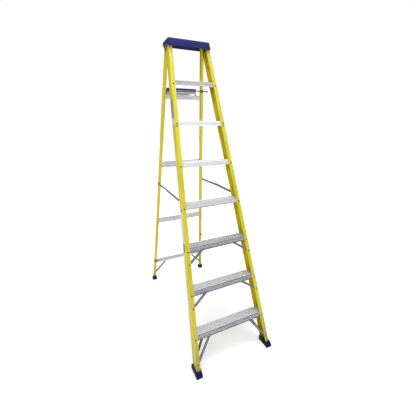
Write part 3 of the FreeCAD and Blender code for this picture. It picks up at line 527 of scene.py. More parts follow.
def modify(piece, kind, **settings):
    """Add a modifier and apply it."""
    activate(piece)
    modifier = piece.modifiers.new("work", kind)
    for key, value in settings.items():
        setattr(modifier, key, value)
    bpy.ops.object.modifier_apply(modifier=modifier.name)


def carve(piece, *tools):
    for tool in tools:
        clear_selection()
        modify(piece, "BOOLEAN", operation="DIFFERENCE", object=tool, solver="EXACT")
        bpy.data.objects.remove(tool)


def copy_piece(piece, name):
    activate(piece)
    bpy.ops.object.duplicate()
    twin = bpy.context.object
    twin.name = name
    twin.data.name = name
    return twin


def join(name, pieces):
    activate(pieces[0])
    for piece in pieces:
        piece.select_set(True)
    bpy.ops.object.join()
    pieces[0].name = name
    pieces[0].data.name = name
    return pieces[0]


def settle(piece, turn=None, move=(0, 0, 0)):
    """Put a piece modelled in a turned frame into its place, leaving its object at the origin."""
    activate(piece)
    matrix = Matrix.Translation(Vector(move)) @ (turn or Matrix.Identity(3)).to_4x4()
    piece.matrix_world = matrix
    bpy.ops.object.transform_apply(location=True, rotation=True, scale=True)


def soften(piece, width, segments=2, angle=35):
    modify(
        piece, "BEVEL", width=width, segments=segments, limit_method="ANGLE",
        angle_limit=math.radians(angle), use_clamp_overlap=True,
    )


def dress(piece, paint, body, slot, *nodes, smooth=40):
    """Smooth, paint and hand a finished piece to its body."""
    activate(piece)
    bpy.ops.object.mode_set(mode="EDIT")
    bpy.ops.mesh.select_all(action="SELECT")
    bpy.ops.mesh.remove_doubles(threshold=0.00001)
    bpy.ops.object.mode_set(mode="OBJECT")
    bpy.ops.object.shade_smooth_by_angle(angle=math.radians(smooth))
    piece.data.materials.clear()
    piece.data.materials.append(paint)
    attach(piece, body)
    if nodes:
        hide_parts(*nodes)
    return piece


def mark_facing_up(piece):
    """Keep on each corner how far the surface there faces up, for the painted highlight on top of a tread."""
    mark = piece.data.attributes.new(FACING_UP, "FLOAT", "CORNER")
    for corner, normal in zip(mark.data, piece.data.corner_normals):
        corner.value = normal.vector.z


PAINTS = {
    "front_left": fibreglass("fibreglass_front_left", FRONT_LEAN, 0.06),
    "front_right": fibreglass("fibreglass_front_right", FRONT_LEAN, -0.06),
    "rear_left": fibreglass("fibreglass_rear_left", REAR_LEAN, 0.057),
    "rear_right": fibreglass("fibreglass_rear_right", REAR_LEAN, -0.057),
    # Treads: dark grey sides with a near-white painted highlight on the tops and painted glare on the middle
    # skirts.
    "tread": drawn_aluminium(
        "tread_aluminium", srgb(86, 85, 96), srgb(128, 127, 137), highlight_tone=srgb(246, 246, 249),
    ),
    "bar": drawn_aluminium("bar_aluminium", srgb(178, 178, 183), srgb(214, 214, 218), (REAR_LEAN, 0, 0)),
    "brace": drawn_aluminium(
        "brace_aluminium", srgb(112, 110, 114), srgb(146, 144, 148), roughness=0.4, metallic=0.7,
    ),
    "shelf": drawn_aluminium("shelf_aluminium", srgb(160, 160, 166), srgb(196, 196, 202)),
    "spreader": dark_steel("spreader_steel", srgb(112, 110, 114), srgb(142, 140, 144)),
    "latch": dark_steel("latch_steel", srgb(118, 112, 126), srgb(150, 146, 156)),
    "cap": moulded_plastic("cap_plastic", srgb(17, 21, 80), srgb(21, 27, 92), srgb(46, 52, 116), gloss=0.25),
    "trim": moulded_plastic("trim_plastic", srgb(34, 40, 116), srgb(44, 52, 134), srgb(90, 96, 160)),
    "boot": moulded_plastic(
        "boot_plastic", srgb(13, 12, 52), srgb(16, 16, 62), srgb(40, 40, 86), 0.55, gloss=0.2,
    ),
    "clip": moulded_plastic("clip_plastic", srgb(28, 28, 32), srgb(38, 38, 42), srgb(96, 96, 98), 0.55),
    "bushing": moulded_plastic(
        "bushing_plastic", srgb(190, 188, 180), srgb(206, 204, 196), srgb(150, 148, 140),
    ),
    "rubber": rubber("tread_rubber"),
    "rivet": plated("rivet_metal", srgb(92, 88, 84), srgb(62, 58, 54), 0.4),
    "bright_rivet": plated("bright_rivet_metal", srgb(206, 206, 208), srgb(150, 148, 146)),
    "plated": plated("plated_steel", srgb(202, 200, 196), srgb(146, 142, 136)),
    "film": plate_film("plate_film"),
}


# ---------------------------------------------------------------- rails

FRONT_WALL = 3.4 * MM
REAR_WALL = 3.0 * MM
FRONT_FLANGE = 28.6 * MM
SEAT_GAP = 0.3 * MM


def rail_seat(node):
    half_depth = FRONT_DEPTH if node.startswith("front") else REAR_DEPTH
    return straight_seat(node, Z_AXIS, half_depth)


def rail(half, label, side, wall, flange_round):
    """Pultruded channel with rounded flange tips and a filleted web."""
    node = "%s_rail_%s" % (half, label)
    seat = rail_seat(node)
    outer, inner = (seat.high.x, seat.low.x) if side > 0 else (seat.low.x, seat.high.x)
    web = outer - side * wall
    front, back = seat.low.y, seat.high.y
    thick_tip = wall * 1.12
    neck = inner + side * wall * 2.2
    points = [
        (outer, front), (inner, front), (inner, front + thick_tip), (neck, front + wall),
        (web, front + wall), (web, back - wall), (neck, back - wall), (inner, back - thick_tip),
        (inner, back), (outer, back),
    ]
    piece = prism("%s_side_rail_%s" % (half, label), points, seat.low.z, seat.high.z)
    long = seat.size.z * 0.5
    pick("EDGE", lambda edge: edge.calc_length() > long and abs(edge_middle(edge).x - neck) > wall * 0.2)
    round_edges(flange_round, 3)
    soften(piece, 0.0004, 2, 60)
    settle(piece, seat.turn)
    return dress(piece, PAINTS["%s_%s" % (half, label)], half + "_section", "fibreglass", node)


for label, side in SIDES.items():
    rail("front", label, side, FRONT_WALL, 1.3 * MM)
    rail("rear", label, side, REAR_WALL, 1.1 * MM)


# ---------------------------------------------------------------- treads

RIB_PITCH = 4.1 * MM
RIB_HEIGHT = 1.3 * MM
RIDGE_PITCH = 3.9 * MM
RIDGE_DEPTH = 0.5 * MM
TREAD_WALL = 2.4 * MM
NOTCH_ROOM = 2.2 * MM


def tread_outline(depth, front_drop, back_drop, slope):
    """Section of the extrusion seen from its end: ribbed deck, ridged front skirt, hooked rear skirt."""
    count = int(depth / RIB_PITCH)
    margin = (depth - count * RIB_PITCH) / 2
    points = [(0, -RIB_HEIGHT * 1.2), (0.0006, 0), (margin + RIB_PITCH * 0.9, 0)]
    for index in range(1, count - 1):
        start = margin + index * RIB_PITCH
        points.extend([
            (start, -RIB_HEIGHT), (start + RIB_PITCH * 0.40, -RIB_HEIGHT),
            (start + RIB_PITCH * 0.52, 0), (start + RIB_PITCH * 0.90, 0),
        ])
    hook = depth - back_drop * slope - 9 * MM
    points.extend([
        (depth - margin - RIB_PITCH * 0.9, -RIB_HEIGHT), (depth - margin - RIB_PITCH * 0.6, 0), (depth, 0),
        (depth - back_drop * slope, -back_drop), (hook, -back_drop),
        (hook + 0.3 * MM, -back_drop + TREAD_WALL),
        (depth - (back_drop - TREAD_WALL) * slope - TREAD_WALL, -back_drop + TREAD_WALL),
        (depth - TREAD_WALL * (1 + slope), -TREAD_WALL - RIB_HEIGHT),
    ])
    for share in (0.66, 0.33):
        boss = depth * share
        points.extend([
            (boss + 3 * MM, -TREAD_WALL - RIB_HEIGHT), (boss + 2 * MM, -TREAD_WALL - 7 * MM),
            (boss - 2 * MM, -TREAD_WALL - 7 * MM), (boss - 3 * MM, -TREAD_WALL - RIB_HEIGHT),
        ])
    points.extend([
        (TREAD_WALL * (1 - slope), -TREAD_WALL - RIB_HEIGHT),
        (TREAD_WALL - front_drop * slope, -front_drop + 3 * MM),
        (TREAD_WALL + 2.6 * MM - front_drop * slope, -front_drop + 1.6 * MM),
        (TREAD_WALL + 2.2 * MM - front_drop * slope, -front_drop), (-front_drop * slope, -front_drop),
    ])
    ridges = int((front_drop - 8 * MM) / RIDGE_PITCH)
    for index in range(ridges, 0, -1):
        base = -4.5 * MM - (index - 1) * RIDGE_PITCH
        face = base * slope
        for share, depth_in in ((0.62, 0), (0.50, RIDGE_DEPTH), (0.12, RIDGE_DEPTH)):
            points.append((face - RIDGE_PITCH * share * slope + depth_in, base - RIDGE_PITCH * share))
        points.append((face, base))
    return points


def tread_piece(node):
    """One tread, its ends notched behind the rear flanges of the rails."""
    low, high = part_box(node)
    slope = FRONT_ALONG.y / FRONT_ALONG.z
    front_drop = high.z - low.z
    front_edge = low.y + front_drop * slope
    depth = high.y - front_edge
    back_drop = front_drop * 2 / 3
    points = [
        (front_edge + first, high.z + second)
        for first, second in tread_outline(depth, front_drop, back_drop, slope)
    ]
    piece = prism("tread", points, low.x, high.x, axis=0)
    soften(piece, 0.00018, 1, 40)
    rail_back = rail_seat("front_rail_left").size.y - FRONT_WALL * 2 - SEAT_GAP * 2
    channel = front_edge + rail_back * math.sqrt(1 + slope * slope)
    flange = FRONT_FLANGE + SEAT_GAP * 2 + NOTCH_ROOM
    cutters = []
    for side in SIDES.values():
        inner = (high.x - flange) if side > 0 else (low.x + flange)
        outer = (high.x if side > 0 else low.x) + side * 0.02
        cutter = block(
            "notch", (min(inner, outer), channel, low.z - 0.02),
            (max(inner, outer), high.y + 0.03, high.z + 0.02),
        )
        pick("VERT", lambda vertex: vertex.co.z < high.z)
        push((0, -(high.z - low.z + 0.04) * slope, 0))
        push((0, 0.02 * slope, 0))
        cutters.append(cutter)
    carve(piece, *cutters)
    return piece


def stretch_ends(piece, middle, change):
    """Move both ends of a piece outwards or inwards by the same amount."""
    activate(piece)
    bpy.ops.object.mode_set(mode="EDIT")
    for side in SIDES.values():
        pick("VERT", lambda vertex: (vertex.co.x - middle) * side > 0.05)
        push((side * change, 0, 0))
    bpy.ops.object.mode_set(mode="OBJECT")


first_tread = tread_piece("step_7")
first_low, first_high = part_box("step_7")
for number in range(1, 8):
    node = "step_%d" % number
    low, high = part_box(node)
    piece = copy_piece(first_tread, "tread_%d" % number)
    stretch_ends(piece, 0.0, high.x - first_high.x)
    settle(piece, move=(0, high.y - first_high.y, high.z - first_high.z))
    dress(piece, PAINTS["tread"], "front_section", "step_aluminium", node, smooth=30)
    mark_facing_up(piece)
bpy.data.objects.remove(first_tread)


# ---------------------------------------------------------------- braces and rear bars


def channel_outline(low, high, wall, lip_at_low):
    """A C section with its web on one side of the second axis."""
    web, mouth = (low.y, high.y) if lip_at_low else (high.y, low.y)
    inner = web + (wall if lip_at_low else -wall)
    return [
        (low.x, web), (high.x, web), (high.x, mouth), (high.x - wall, mouth),
        (high.x - wall, inner), (low.x + wall, inner), (low.x + wall, mouth), (low.x, mouth),
    ]


def brace(node, name, depth, body, web_in_front=True):
    """Rolled channel whose ends are clipped at the corners."""
    seat = straight_seat(node, X_AXIS, depth)
    wall = 1.7 * MM
    points = channel_outline(seat.low, seat.high, wall, web_in_front)
    piece = prism(name, points, seat.low.z, seat.high.z)
    tall = seat.size.z
    pick("EDGE", lambda edge: edge.calc_length() > tall * 0.8)
    round_edges(0.5 * MM, 2)
    cut = 5.5 * MM
    for end, sign in ((seat.low.z, 1), (seat.high.z, -1)):
        for edge_x, across in ((seat.low.x, 1), (seat.high.x, -1)):
            bpy.ops.mesh.select_all(action="SELECT")
            bpy.ops.mesh.bisect(
                plane_co=(edge_x + across * cut * 0.5, seat.middle.y, end + sign * cut * 0.5),
                plane_no=(-across, 0, -sign), use_fill=True, clear_outer=True,
            )
    soften(piece, 0.0002, 1, 50)
    settle(piece, seat.turn)
    return dress(piece, PAINTS["brace"], body, "brace_metal", node)


for label in SIDES:
    for number in (1, 2, 3):
        place = "%d_%s" % (number, label)
        brace("knee_brace_" + place, "knee_strut_" + place, FRONT_DEPTH, "front_section")
    brace("knee_brace_rear_" + label, "knee_strut_rear_" + label, FRONT_DEPTH, "front_section", False)
    brace("rear_brace_" + label, "rear_strut_" + label, REAR_DEPTH, "rear_section")


def rear_bar(number):
    """Rolled channel across the rear rails: flat bright web with two pressed beads, curled lips."""
    node = "rear_bar_%d" % number
    seat = Seat(node, REAR_TURN)
    low, high = seat.low, seat.high
    wall = 1.7 * MM
    bead = 2.6 * MM
    height = high.z - low.z
    face = low.y
    points = [
        (face, low.z + 1.2 * MM), (face + 1.2 * MM, low.z),
        (high.y - 1.5 * MM, low.z), (high.y, low.z + 1.5 * MM),
        (high.y, low.z + 5 * MM), (high.y - wall, low.z + 5 * MM), (high.y - wall, low.z + wall + 1 * MM),
        (face + wall, low.z + wall), (face + wall, high.z - wall), (high.y - wall, high.z - wall - 1 * MM),
        (high.y - wall, high.z - 5 * MM), (high.y, high.z - 5 * MM), (high.y, high.z - 1.5 * MM),
        (high.y - 1.5 * MM, high.z), (face + 1.2 * MM, high.z), (face, high.z - 1.2 * MM),
    ]
    for share in (0.72, 0.28):
        middle = low.z + height * share
        points.extend([
            (face, middle + 2.2 * MM), (face + bead, middle + 1.0 * MM),
            (face + bead, middle - 1.0 * MM), (face, middle - 2.2 * MM),
        ])
    piece = prism("rear_crossbar_%d" % number, points, low.x, high.x, axis=0)
    soften(piece, 0.0003, 1, 40)
    settle(piece, REAR_TURN)
    return dress(piece, PAINTS["bar"], "rear_section", "bar_aluminium", node)


for number in (1, 2, 3, 4):
    rear_bar(number)


# ---------------------------------------------------------------- rivets, bolts and pins


def domed_head(name, radius, height, sides=20):
    """A low rivet head standing on Z = 0: short skirt, rounded crown, small centre dimple."""
    piece = rod(name, (0, 0, 0), (0, 0, height), radius, sides)
    pick("FACE", lambda face: face.normal.z > 0.9)
    bpy.ops.mesh.inset(thickness=radius * 0.3)
    pick("EDGE", lambda edge: (
        edge_middle(edge).z > height * 0.9 and edge_middle(edge).xy.length > radius * 0.85
    ))
    round_edges(height * 0.62, 4)
    pick("FACE", lambda face: face.normal.z > 0.9 and face.calc_center_median().xy.length < radius * 0.1)
    bpy.ops.mesh.inset(thickness=radius * 0.32)
    push((0, 0, -height * 0.16))
    return piece


def facing(direction):
    return direction.to_track_quat("Z", "Y").to_matrix()


def rivet_row(node, name, direction_of, paint, body, slot, reach):
    """A domed head on each of the CAD heads of one node."""
    masters = {}
    heads = []
    for group in clusters(node, reach):
        middle = sum(group, Vector()) / len(group)
        turn = facing(direction_of(middle))
        seat = Seat(node, turn, group)
        radius = round(seat.size.x / 2, 5)
        height = round(seat.size.z, 5)
        if (radius, height) not in masters:
            masters[radius, height] = domed_head("head", radius, height)
        head = copy_piece(masters[radius, height], "head_copy")
        base = turn @ Vector((seat.middle.x, seat.middle.y, seat.low.z))
        settle(head, turn, base)
        heads.append(head)
    piece = join(name, heads)
    for master in masters.values():
        bpy.data.objects.remove(master)
    return dress(piece, paint, body, slot, node)


RIVET_REACH = 0.0125
for node, name, direction_of, finish, body in (
    ("front_rivets", "front_rivet_heads", lambda place: -FRONT_DEPTH, "rivet", "front_section"),
    ("rear_rivets", "rear_rivet_heads", lambda place: -REAR_DEPTH, "rivet", "rear_section"),
    (
        "cap_rivets", "cap_rivet_heads", lambda place: X_AXIS * math.copysign(1, place.x),
        "bright_rivet", "front_section",
    ),
):
    rivet_row(node, name, direction_of, PAINTS[finish], body, "rivet_metal", RIVET_REACH)


def hex_nut(name, start, end, radius):
    """A chamfered hexagon."""
    piece = rod(name, start, end, radius, 6)
    soften(piece, 0.0007, 2, 40)
    return piece


def hinge_bolt(label, side):
    """Carriage bolt through the cap and the rear rail: domed head and washer outside, locknut inside."""
    node = "hinge_bolt_" + label
    low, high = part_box(node)
    axis = Vector((0, HINGE.y, HINGE.z))
    outside = high.x if side > 0 else -low.x
    inside = low.x if side > 0 else -high.x
    thread = 5.0 * MM
    shank = rod(
        "shank", beside(axis, side * (inside + 1 * MM)), beside(axis, side * (outside - 2 * MM)), thread, 24,
    )
    soften(shank, 0.0006, 2)
    washer = rod(
        "washer", beside(axis, side * (outside - 5 * MM)),
        beside(axis, side * (outside - 3.6 * MM)), 9.0 * MM, 40,
    )
    soften(washer, 0.0003, 2)
    head = domed_head("dome", 7.6 * MM, 3.6 * MM, 32)
    settle(head, facing(X_AXIS * side), beside(axis, side * (outside - 3.6 * MM)))
    nut = hex_nut(
        "nut", beside(axis, side * (inside + 0.2 * MM)), beside(axis, side * (inside + 5 * MM)), 8.4 * MM,
    )
    piece = join("cap_bolt_" + label, [shank, washer, head, nut])
    return dress(piece, PAINTS["plated"], body_of(node), "plated_steel", node)


for label, side in SIDES.items():
    hinge_bolt(label, side)


def pivot_pins(node, name):
    """Shouldered rivets at one end of the spreaders: dome outside, peened tail inside."""
    parts = []
    for group in clusters(node, 0.1):
        seat = Seat(node, None, group)
        side = math.copysign(1, seat.middle.x)
        centre = Vector((0, seat.middle.y, seat.middle.z))
        outside = max(abs(seat.low.x), abs(seat.high.x))
        inside = min(abs(seat.low.x), abs(seat.high.x))
        shank = rod(
            "shank", beside(centre, side * (inside + 1 * MM)),
            beside(centre, side * (outside - 1 * MM)), 3.9 * MM, 24,
        )
        soften(shank, 0.0004, 2)
        head = domed_head("dome", seat.size.y / 2, 2.2 * MM, 28)
        settle(head, facing(X_AXIS * side), beside(centre, side * (outside - 2.2 * MM)))
        tail = domed_head("tail", 5.2 * MM, 2.0 * MM, 24)
        settle(tail, facing(X_AXIS * -side), beside(centre, side * (inside + 2.0 * MM)))
        parts.extend([shank, head, tail])
    piece = join(name, parts)
    return dress(piece, PAINTS["plated"], body_of(node), "plated_steel", node)


for half in ("front", "rear"):
    pivot_pins("spreader_pins_" + half, "spreader_studs_" + half)
for label in SIDES:
    pivot_pins("spreader_rivet_" + label, "spreader_knuckle_" + label)


# ---------------------------------------------------------------- spreaders


def arc_points(centre, radius, start, end, count):
    """Points on an arc in the outline's plane, angles in degrees."""
    points = []
    for index in range(count + 1):
        angle = math.radians(start + (end - start) * index / count)
        points.append((centre[0] + radius * math.cos(angle), centre[1] + radius * math.sin(angle)))
    return points


def spreader_bar(node, name, start, end, bead_depth):
    """Pressed steel strip with rounded ends and a stiffening bead along its outer face."""
    run = end - start
    turn = turned_frame(run, run.cross(X_AXIS))
    seat = Seat(node, turn)
    half = seat.size.y / 2
    first = (seat.middle.y, seat.low.z + half)
    last = (seat.middle.y, seat.high.z - half)
    points = arc_points(first, half, 180, 360, 12) + arc_points(last, half, 0, 180, 12)
    piece = prism(name, points, seat.low.x, seat.high.x, axis=0)
    outer = max(abs(seat.low.x), abs(seat.high.x)) * math.copysign(1, seat.middle.x)
    pick("FACE", lambda face: abs(face.normal.x) > 0.9 and abs(face.calc_center_median().x - outer) < 1e-5)
    bpy.ops.mesh.inset(thickness=half * 0.42)
    bpy.ops.mesh.inset(thickness=half * 0.2)
    inward = -math.copysign(bead_depth, outer)
    push((inward, 0, 0))
    soften(piece, 0.0004, 2, 50)
    settle(piece, turn)
    return dress(piece, PAINTS["spreader"], body_of(node), "spreader_steel", node)


for label in SIDES:
    knee_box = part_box("spreader_rivet_" + label)
    knee = (knee_box[0] + knee_box[1]) / 2
    for half in ("front", "rear"):
        pivot = JOINTS["spreader_%s_turn_%s" % (half, label)]
        spreader_bar(
            "spreader_%s_%s" % (half, label), "spreader_arm_%s_%s" % (half, label),
            Vector((0, pivot.y, pivot.z)), Vector((0, knee.y, knee.z)), 0.9 * MM,
        )


# ---------------------------------------------------------------- boots and pads

BOOT_TOE = {"front": 17 * MM, "rear": 14 * MM}
BOOT_PANELS = 4
PAD_BLOCKS = {"front": 9, "rear": 5}


def boot(half, label):
    """Moulded boot: rounded wedge with side ribs, a collar round the rail and a socket for its foot."""
    node = "%s_%s_boot" % (half, label)
    low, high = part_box(node)
    lean = FRONT_LEAN if half == "front" else REAR_LEAN
    base = low.z
    height = high.z - low.z
    shift = math.tan(lean) * (high.z)
    seat = rail_seat("%s_rail_%s" % (half, label))
    rail_deep = seat.size.y / math.cos(lean)
    floor_y = low.y + BOOT_TOE[half]
    top_front = floor_y + shift - 5.0 * MM
    top_back = floor_y + rail_deep + shift + 5.0 * MM
    heel = high.y if half == "front" else max(high.y, top_back)
    points = [
        (low.y, base), (heel, base), (heel, base + height * 0.34),
        (min(top_back, heel), high.z - 3 * MM), (top_front, high.z - 3 * MM), (low.y, base + height * 0.30),
    ]
    piece = prism(node + "_shell", points, low.x, high.x, axis=0)
    pick("EDGE", lambda edge: abs(edge_middle(edge).z - base) > 1 * MM)
    round_edges(3.2 * MM, 4)

    # Panels sunk into both sides leave a frame and a row of ribs.
    tools = []
    deep = 1.6 * MM
    for wall_x in (low.x, high.x):
        for index in range(BOOT_PANELS):
            start = low.y + 13 * MM + index * (heel - low.y - 22 * MM) / BOOT_PANELS
            end = start + (heel - low.y - 22 * MM) / BOOT_PANELS - 3.5 * MM
            top = base + height * (0.30 if half == "rear" else 0.34)
            tool = block("panel", (wall_x - deep, start, base + 5 * MM), (wall_x + deep, end, top))
            round_edges(1.2 * MM, 2)
            tools.append(tool)
    gap = 0.15 * MM
    socket = block(
        "socket", (seat.low.x - gap, seat.low.y - gap, seat.low.z - 0.1 * MM),
        (seat.high.x + gap, seat.high.y + gap, seat.low.z + 0.2),
    )
    settle(socket, seat.turn)
    tools.append(socket)
    carve(piece, *tools)
    soften(piece, 0.0004, 1, 45)
    return dress(piece, PAINTS["boot"], half + "_section", "boot_plastic", node)


def pad(half, label):
    """Rubber sole with a row of cross grooves and a rounded edge."""
    node = "%s_%s_pad" % (half, label)
    low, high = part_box(node)
    count = PAD_BLOCKS[half]
    pitch = (high.y - low.y) / count
    points = [(low.y + 1 * MM, high.z), (low.y, high.z - 1 * MM), (low.y, low.z)]
    for index in range(count):
        start = low.y + index * pitch
        if index:
            points.extend([
                (start - pitch * 0.12, low.z + 2.2 * MM), (start + pitch * 0.12, low.z + 2.2 * MM),
                (start + pitch * 0.22, low.z),
            ])
        if index < count - 1:
            points.append((start + pitch * 0.78, low.z))
    points.extend([(high.y, low.z), (high.y, high.z - 1 * MM), (high.y - 1 * MM, high.z)])
    piece = prism(node + "_sole", points, low.x, high.x, axis=0)
    soften(piece, 0.0005, 2, 40)
    return dress(piece, PAINTS["rubber"], half + "_section", "rubber", node)


for half in ("front", "rear"):
    for label in SIDES:
        boot(half, label)
        pad(half, label)


# ---------------------------------------------------------------- top cap

CAP_WALL = 4.0 * MM
CAP_DECK = 5.0 * MM
CAP_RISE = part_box("top_cap")[1].z - HINGE.z
CAP_EAR = HINGE.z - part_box("top_cap")[0].z
CAP_TAPER = 0.06
CAP_HEEL_LOW = 6.0 * MM
CAP_DROP = 18 * MM
CAP_BACK_SLOPE = 13 * MM


def taper_sides(half, heights):
    """Move the sides of an open piece inwards, in line with the rails, the more the higher they are."""
    for height in heights:
        inward = CAP_TAPER * (height + CAP_EAR)
        for side in SIDES.values():
            pick("VERT", lambda vertex: (
                abs(vertex.co.z - HINGE.z - height) < 0.05 * MM and abs(vertex.co.x - side * half) < 0.1 * MM
            ))
            push((-side * inward, 0, 0))


def top_cap():
    """Moulded cap: rounded crown, stepped skirt, ears at the hinge, a tool tray with holes and ribs."""
    low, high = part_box("top_cap")
    slope = FRONT_ALONG.y / FRONT_ALONG.z
    heel = high.y - HINGE.y
    nose_low = low.y - HINGE.y

    def nose(z):
        return nose_low + (z + CAP_DROP) * slope

    rail_deep = rail_seat("front_rail_left").size.y / math.cos(FRONT_LEAN)
    rail_back = nose(0) + 18.5 * MM + rail_deep
    outline = [
        (nose(-CAP_DROP), -CAP_DROP), (rail_back - rail_deep * 0.48 - CAP_EAR * slope, -CAP_DROP),
        (rail_back - CAP_EAR * 0.55, -CAP_EAR + 1 * MM), (rail_back - CAP_EAR * 0.25, -CAP_EAR + 1 * MM),
        (rail_back + 12 * MM, -CAP_DROP), (heel, CAP_HEEL_LOW),
        (heel - CAP_BACK_SLOPE, CAP_RISE), (nose(CAP_RISE), CAP_RISE),
    ]
    points = [(HINGE.y + first, HINGE.z + second) for first, second in outline]
    piece = prism("cap_moulding", points, low.x, high.x, axis=0)
    taper_sides(high.x, sorted({second for first, second in outline}))
    top = high.z

    def side_gap(middle):
        return abs(abs(middle.x) - high.x + CAP_TAPER * (middle.z - HINGE.z + CAP_EAR))

    pick("EDGE", lambda edge: (
        (edge_middle(edge).z > top - 1 * MM)
        or (side_gap(edge_middle(edge)) < 1 * MM and edge_middle(edge).z > HINGE.z - CAP_DROP * 0.9)
    ))
    round_edges(8 * MM, 6)
    soften(piece, 0.0009, 2, 40)

    # Hollow underside, open downwards.
    inner = [
        (nose(-0.06) + CAP_WALL, -0.06), (heel - CAP_WALL, -0.06), (heel - CAP_WALL, CAP_HEEL_LOW),
        (heel - CAP_WALL - CAP_BACK_SLOPE, CAP_RISE - CAP_DECK - 3 * MM),
        (nose(CAP_RISE - CAP_DECK) + CAP_WALL, CAP_RISE - CAP_DECK - 3 * MM),
    ]
    hollow = prism(
        "hollow", [(HINGE.y + first, HINGE.z + second) for first, second in inner],
        low.x + CAP_WALL, high.x - CAP_WALL, axis=0,
    )
    taper_sides(high.x - CAP_WALL, sorted({second for first, second in inner}))
    carve(piece, hollow)

    # The tray, its drain holes and tool slots.
    front_edge = HINGE.y + nose(CAP_RISE) + 14 * MM
    rear_edge = HINGE.y + heel - CAP_BACK_SLOPE - 12 * MM
    tray_half = high.x - CAP_TAPER * (CAP_RISE + CAP_EAR) - 16 * MM
    tray = block("tray", (-tray_half, front_edge, top - 2.6 * MM), (tray_half, rear_edge, top + 5 * MM))
    pick("EDGE", lambda edge: rise(edge) > 1 * MM)
    round_edges(9 * MM, 6)
    pick("EDGE", lambda edge: edge_middle(edge).z < top - 2.5 * MM and rise(edge) < 1e-5)
    round_edges(1.2 * MM, 2)
    carve(piece, tray)
    middle_y = (front_edge + rear_edge) / 2
    for x, radius in ((-0.118, 13 * MM), (0.118, 13 * MM), (-0.084, 6 * MM), (0.084, 6 * MM)):
        hole = rod("hole", (x, middle_y + 0.012, top - 0.03), (x, middle_y + 0.012, top + 0.02), radius, 32)
        carve(piece, hole)
    for x in (-0.045, 0.0, 0.045):
        slot = block(
            "slot", (x - 12 * MM, rear_edge - 15 * MM, top - 0.03),
            (x + 12 * MM, rear_edge - 9 * MM, top + 0.02),
        )
        pick("EDGE", lambda edge: rise(edge) > 1 * MM)
        round_edges(2.6 * MM, 4)
        carve(piece, slot)

    # Long ribs on the tray floor and vertical ribs inside the skirt.
    ribs = []
    for index in range(5):
        y = front_edge + 16 * MM + index * 9 * MM
        rib = block("rib", (-0.062, y, top - 3.4 * MM), (0.062, y + 2.4 * MM, top - 1.5 * MM))
        pick("EDGE", lambda edge: edge_middle(edge).z > top - 1.6 * MM or rise(edge) > 1 * MM)
        round_edges(0.9 * MM, 3)
        ribs.append(rib)
    for index in range(7):
        x = -0.12 + index * 0.04
        rib = block(
            "stiffener", (x - 1.2 * MM, HINGE.y + nose(0) + CAP_WALL * 0.7, HINGE.z - CAP_DROP + 3 * MM),
            (x + 1.2 * MM, HINGE.y + nose(0) + CAP_WALL + 9 * MM, top - CAP_DECK),
        )
        pick("FACE", lambda face: face.normal.y > 0.9)
        bpy.ops.transform.resize(value=(0.6, 1, 0.8), center_override=(x, HINGE.y, top))
        pick("VERT", lambda vertex: vertex.co.z > HINGE.z)
        push((0, (top - CAP_DECK - HINGE.z + CAP_DROP - 3 * MM) * slope, 0))
        ribs.append(rib)
    piece = join("cap_moulding", [piece] + ribs)
    return dress(piece, PAINTS["cap"], "front_section", "cap_plastic", "top_cap", smooth=35)


top_cap()


def bushings():
    """Flanged nylon spacers between the cap walls and the rear rails."""
    parts = []
    for group in clusters("hinge_bushings", 0.1):
        seat = Seat("hinge_bushings", None, group)
        centre = Vector((0, seat.middle.y, seat.middle.z))
        sleeve = rod("sleeve", beside(centre, seat.low.x), beside(centre, seat.high.x), seat.size.y / 2, 40)
        pick("FACE", lambda face: abs(face.normal.x) < 0.1)
        bpy.ops.mesh.inset(thickness=seat.size.x * 0.22, use_even_offset=False, use_boundary=True)
        bpy.ops.transform.resize(value=(1, 0.86, 0.86), center_override=centre)
        soften(sleeve, 0.0004, 2, 40)
        parts.append(sleeve)
    piece = join("hinge_spacers", parts)
    return dress(piece, PAINTS["bushing"], body_of("hinge_bushings"), "bushing_plastic", "hinge_bushings")


bushings()


# ---------------------------------------------------------------- spreader brackets


def spreader_bracket(label, side):
    """Bent plate: a foot riveted behind the rail and an ear for the pivot, joined by a bend."""
    node = "spreader_bracket_" + label
    seat = Seat(node, FRONT_TURN)
    pivot = FRONT_TURN.transposed() @ JOINTS["spreader_front_turn_" + label]
    thick = 2.6 * MM
    outer = seat.high.x if side > 0 else seat.low.x
    inner = seat.low.x if side > 0 else seat.high.x
    back = seat.low.y
    foot = [
        (min(inner, outer), seat.low.z), (max(inner, outer), seat.low.z),
        (max(inner, outer), seat.high.z), (min(inner, outer), seat.high.z),
    ]
    plate = block("plate", (foot[0][0], back, seat.low.z), (foot[1][0], back + thick, seat.high.z))
    pick("EDGE", lambda edge: rise(edge, 1) > 1 * MM)
    round_edges(5 * MM, 5)
    half = 10 * MM
    ear_points = [(back + thick * 0.4, pivot.z - half), (pivot.y, pivot.z - half)]
    ear_points += arc_points((pivot.y, pivot.z), half, -90, 90, 12)[1:-1]
    ear_points += [(pivot.y, pivot.z + half), (back + thick * 0.4, pivot.z + half)]
    ear_points = [(min(first, seat.high.y), second) for first, second in ear_points]
    ear = prism("ear", ear_points, min(outer, outer - side * thick), max(outer, outer - side * thick), axis=0)
    parts = [plate, ear]
    for part in parts:
        soften(part, 0.0005, 2, 40)
    for shift in (-9 * MM, 9 * MM):
        head = domed_head("stud", 3.0 * MM, 1.5 * MM)
        settle(head, facing(Y_AXIS), (inner + side * 9 * MM, back + thick, seat.middle.z + shift))
        parts.append(head)
    piece = join("spreader_hanger_" + label, parts)
    settle(piece, FRONT_TURN)
    return dress(piece, PAINTS["spreader"], body_of(node), "spreader_steel", node)


for label, side in SIDES.items():
    spreader_bracket(label, side)


# ---------------------------------------------------------------- pail shelf


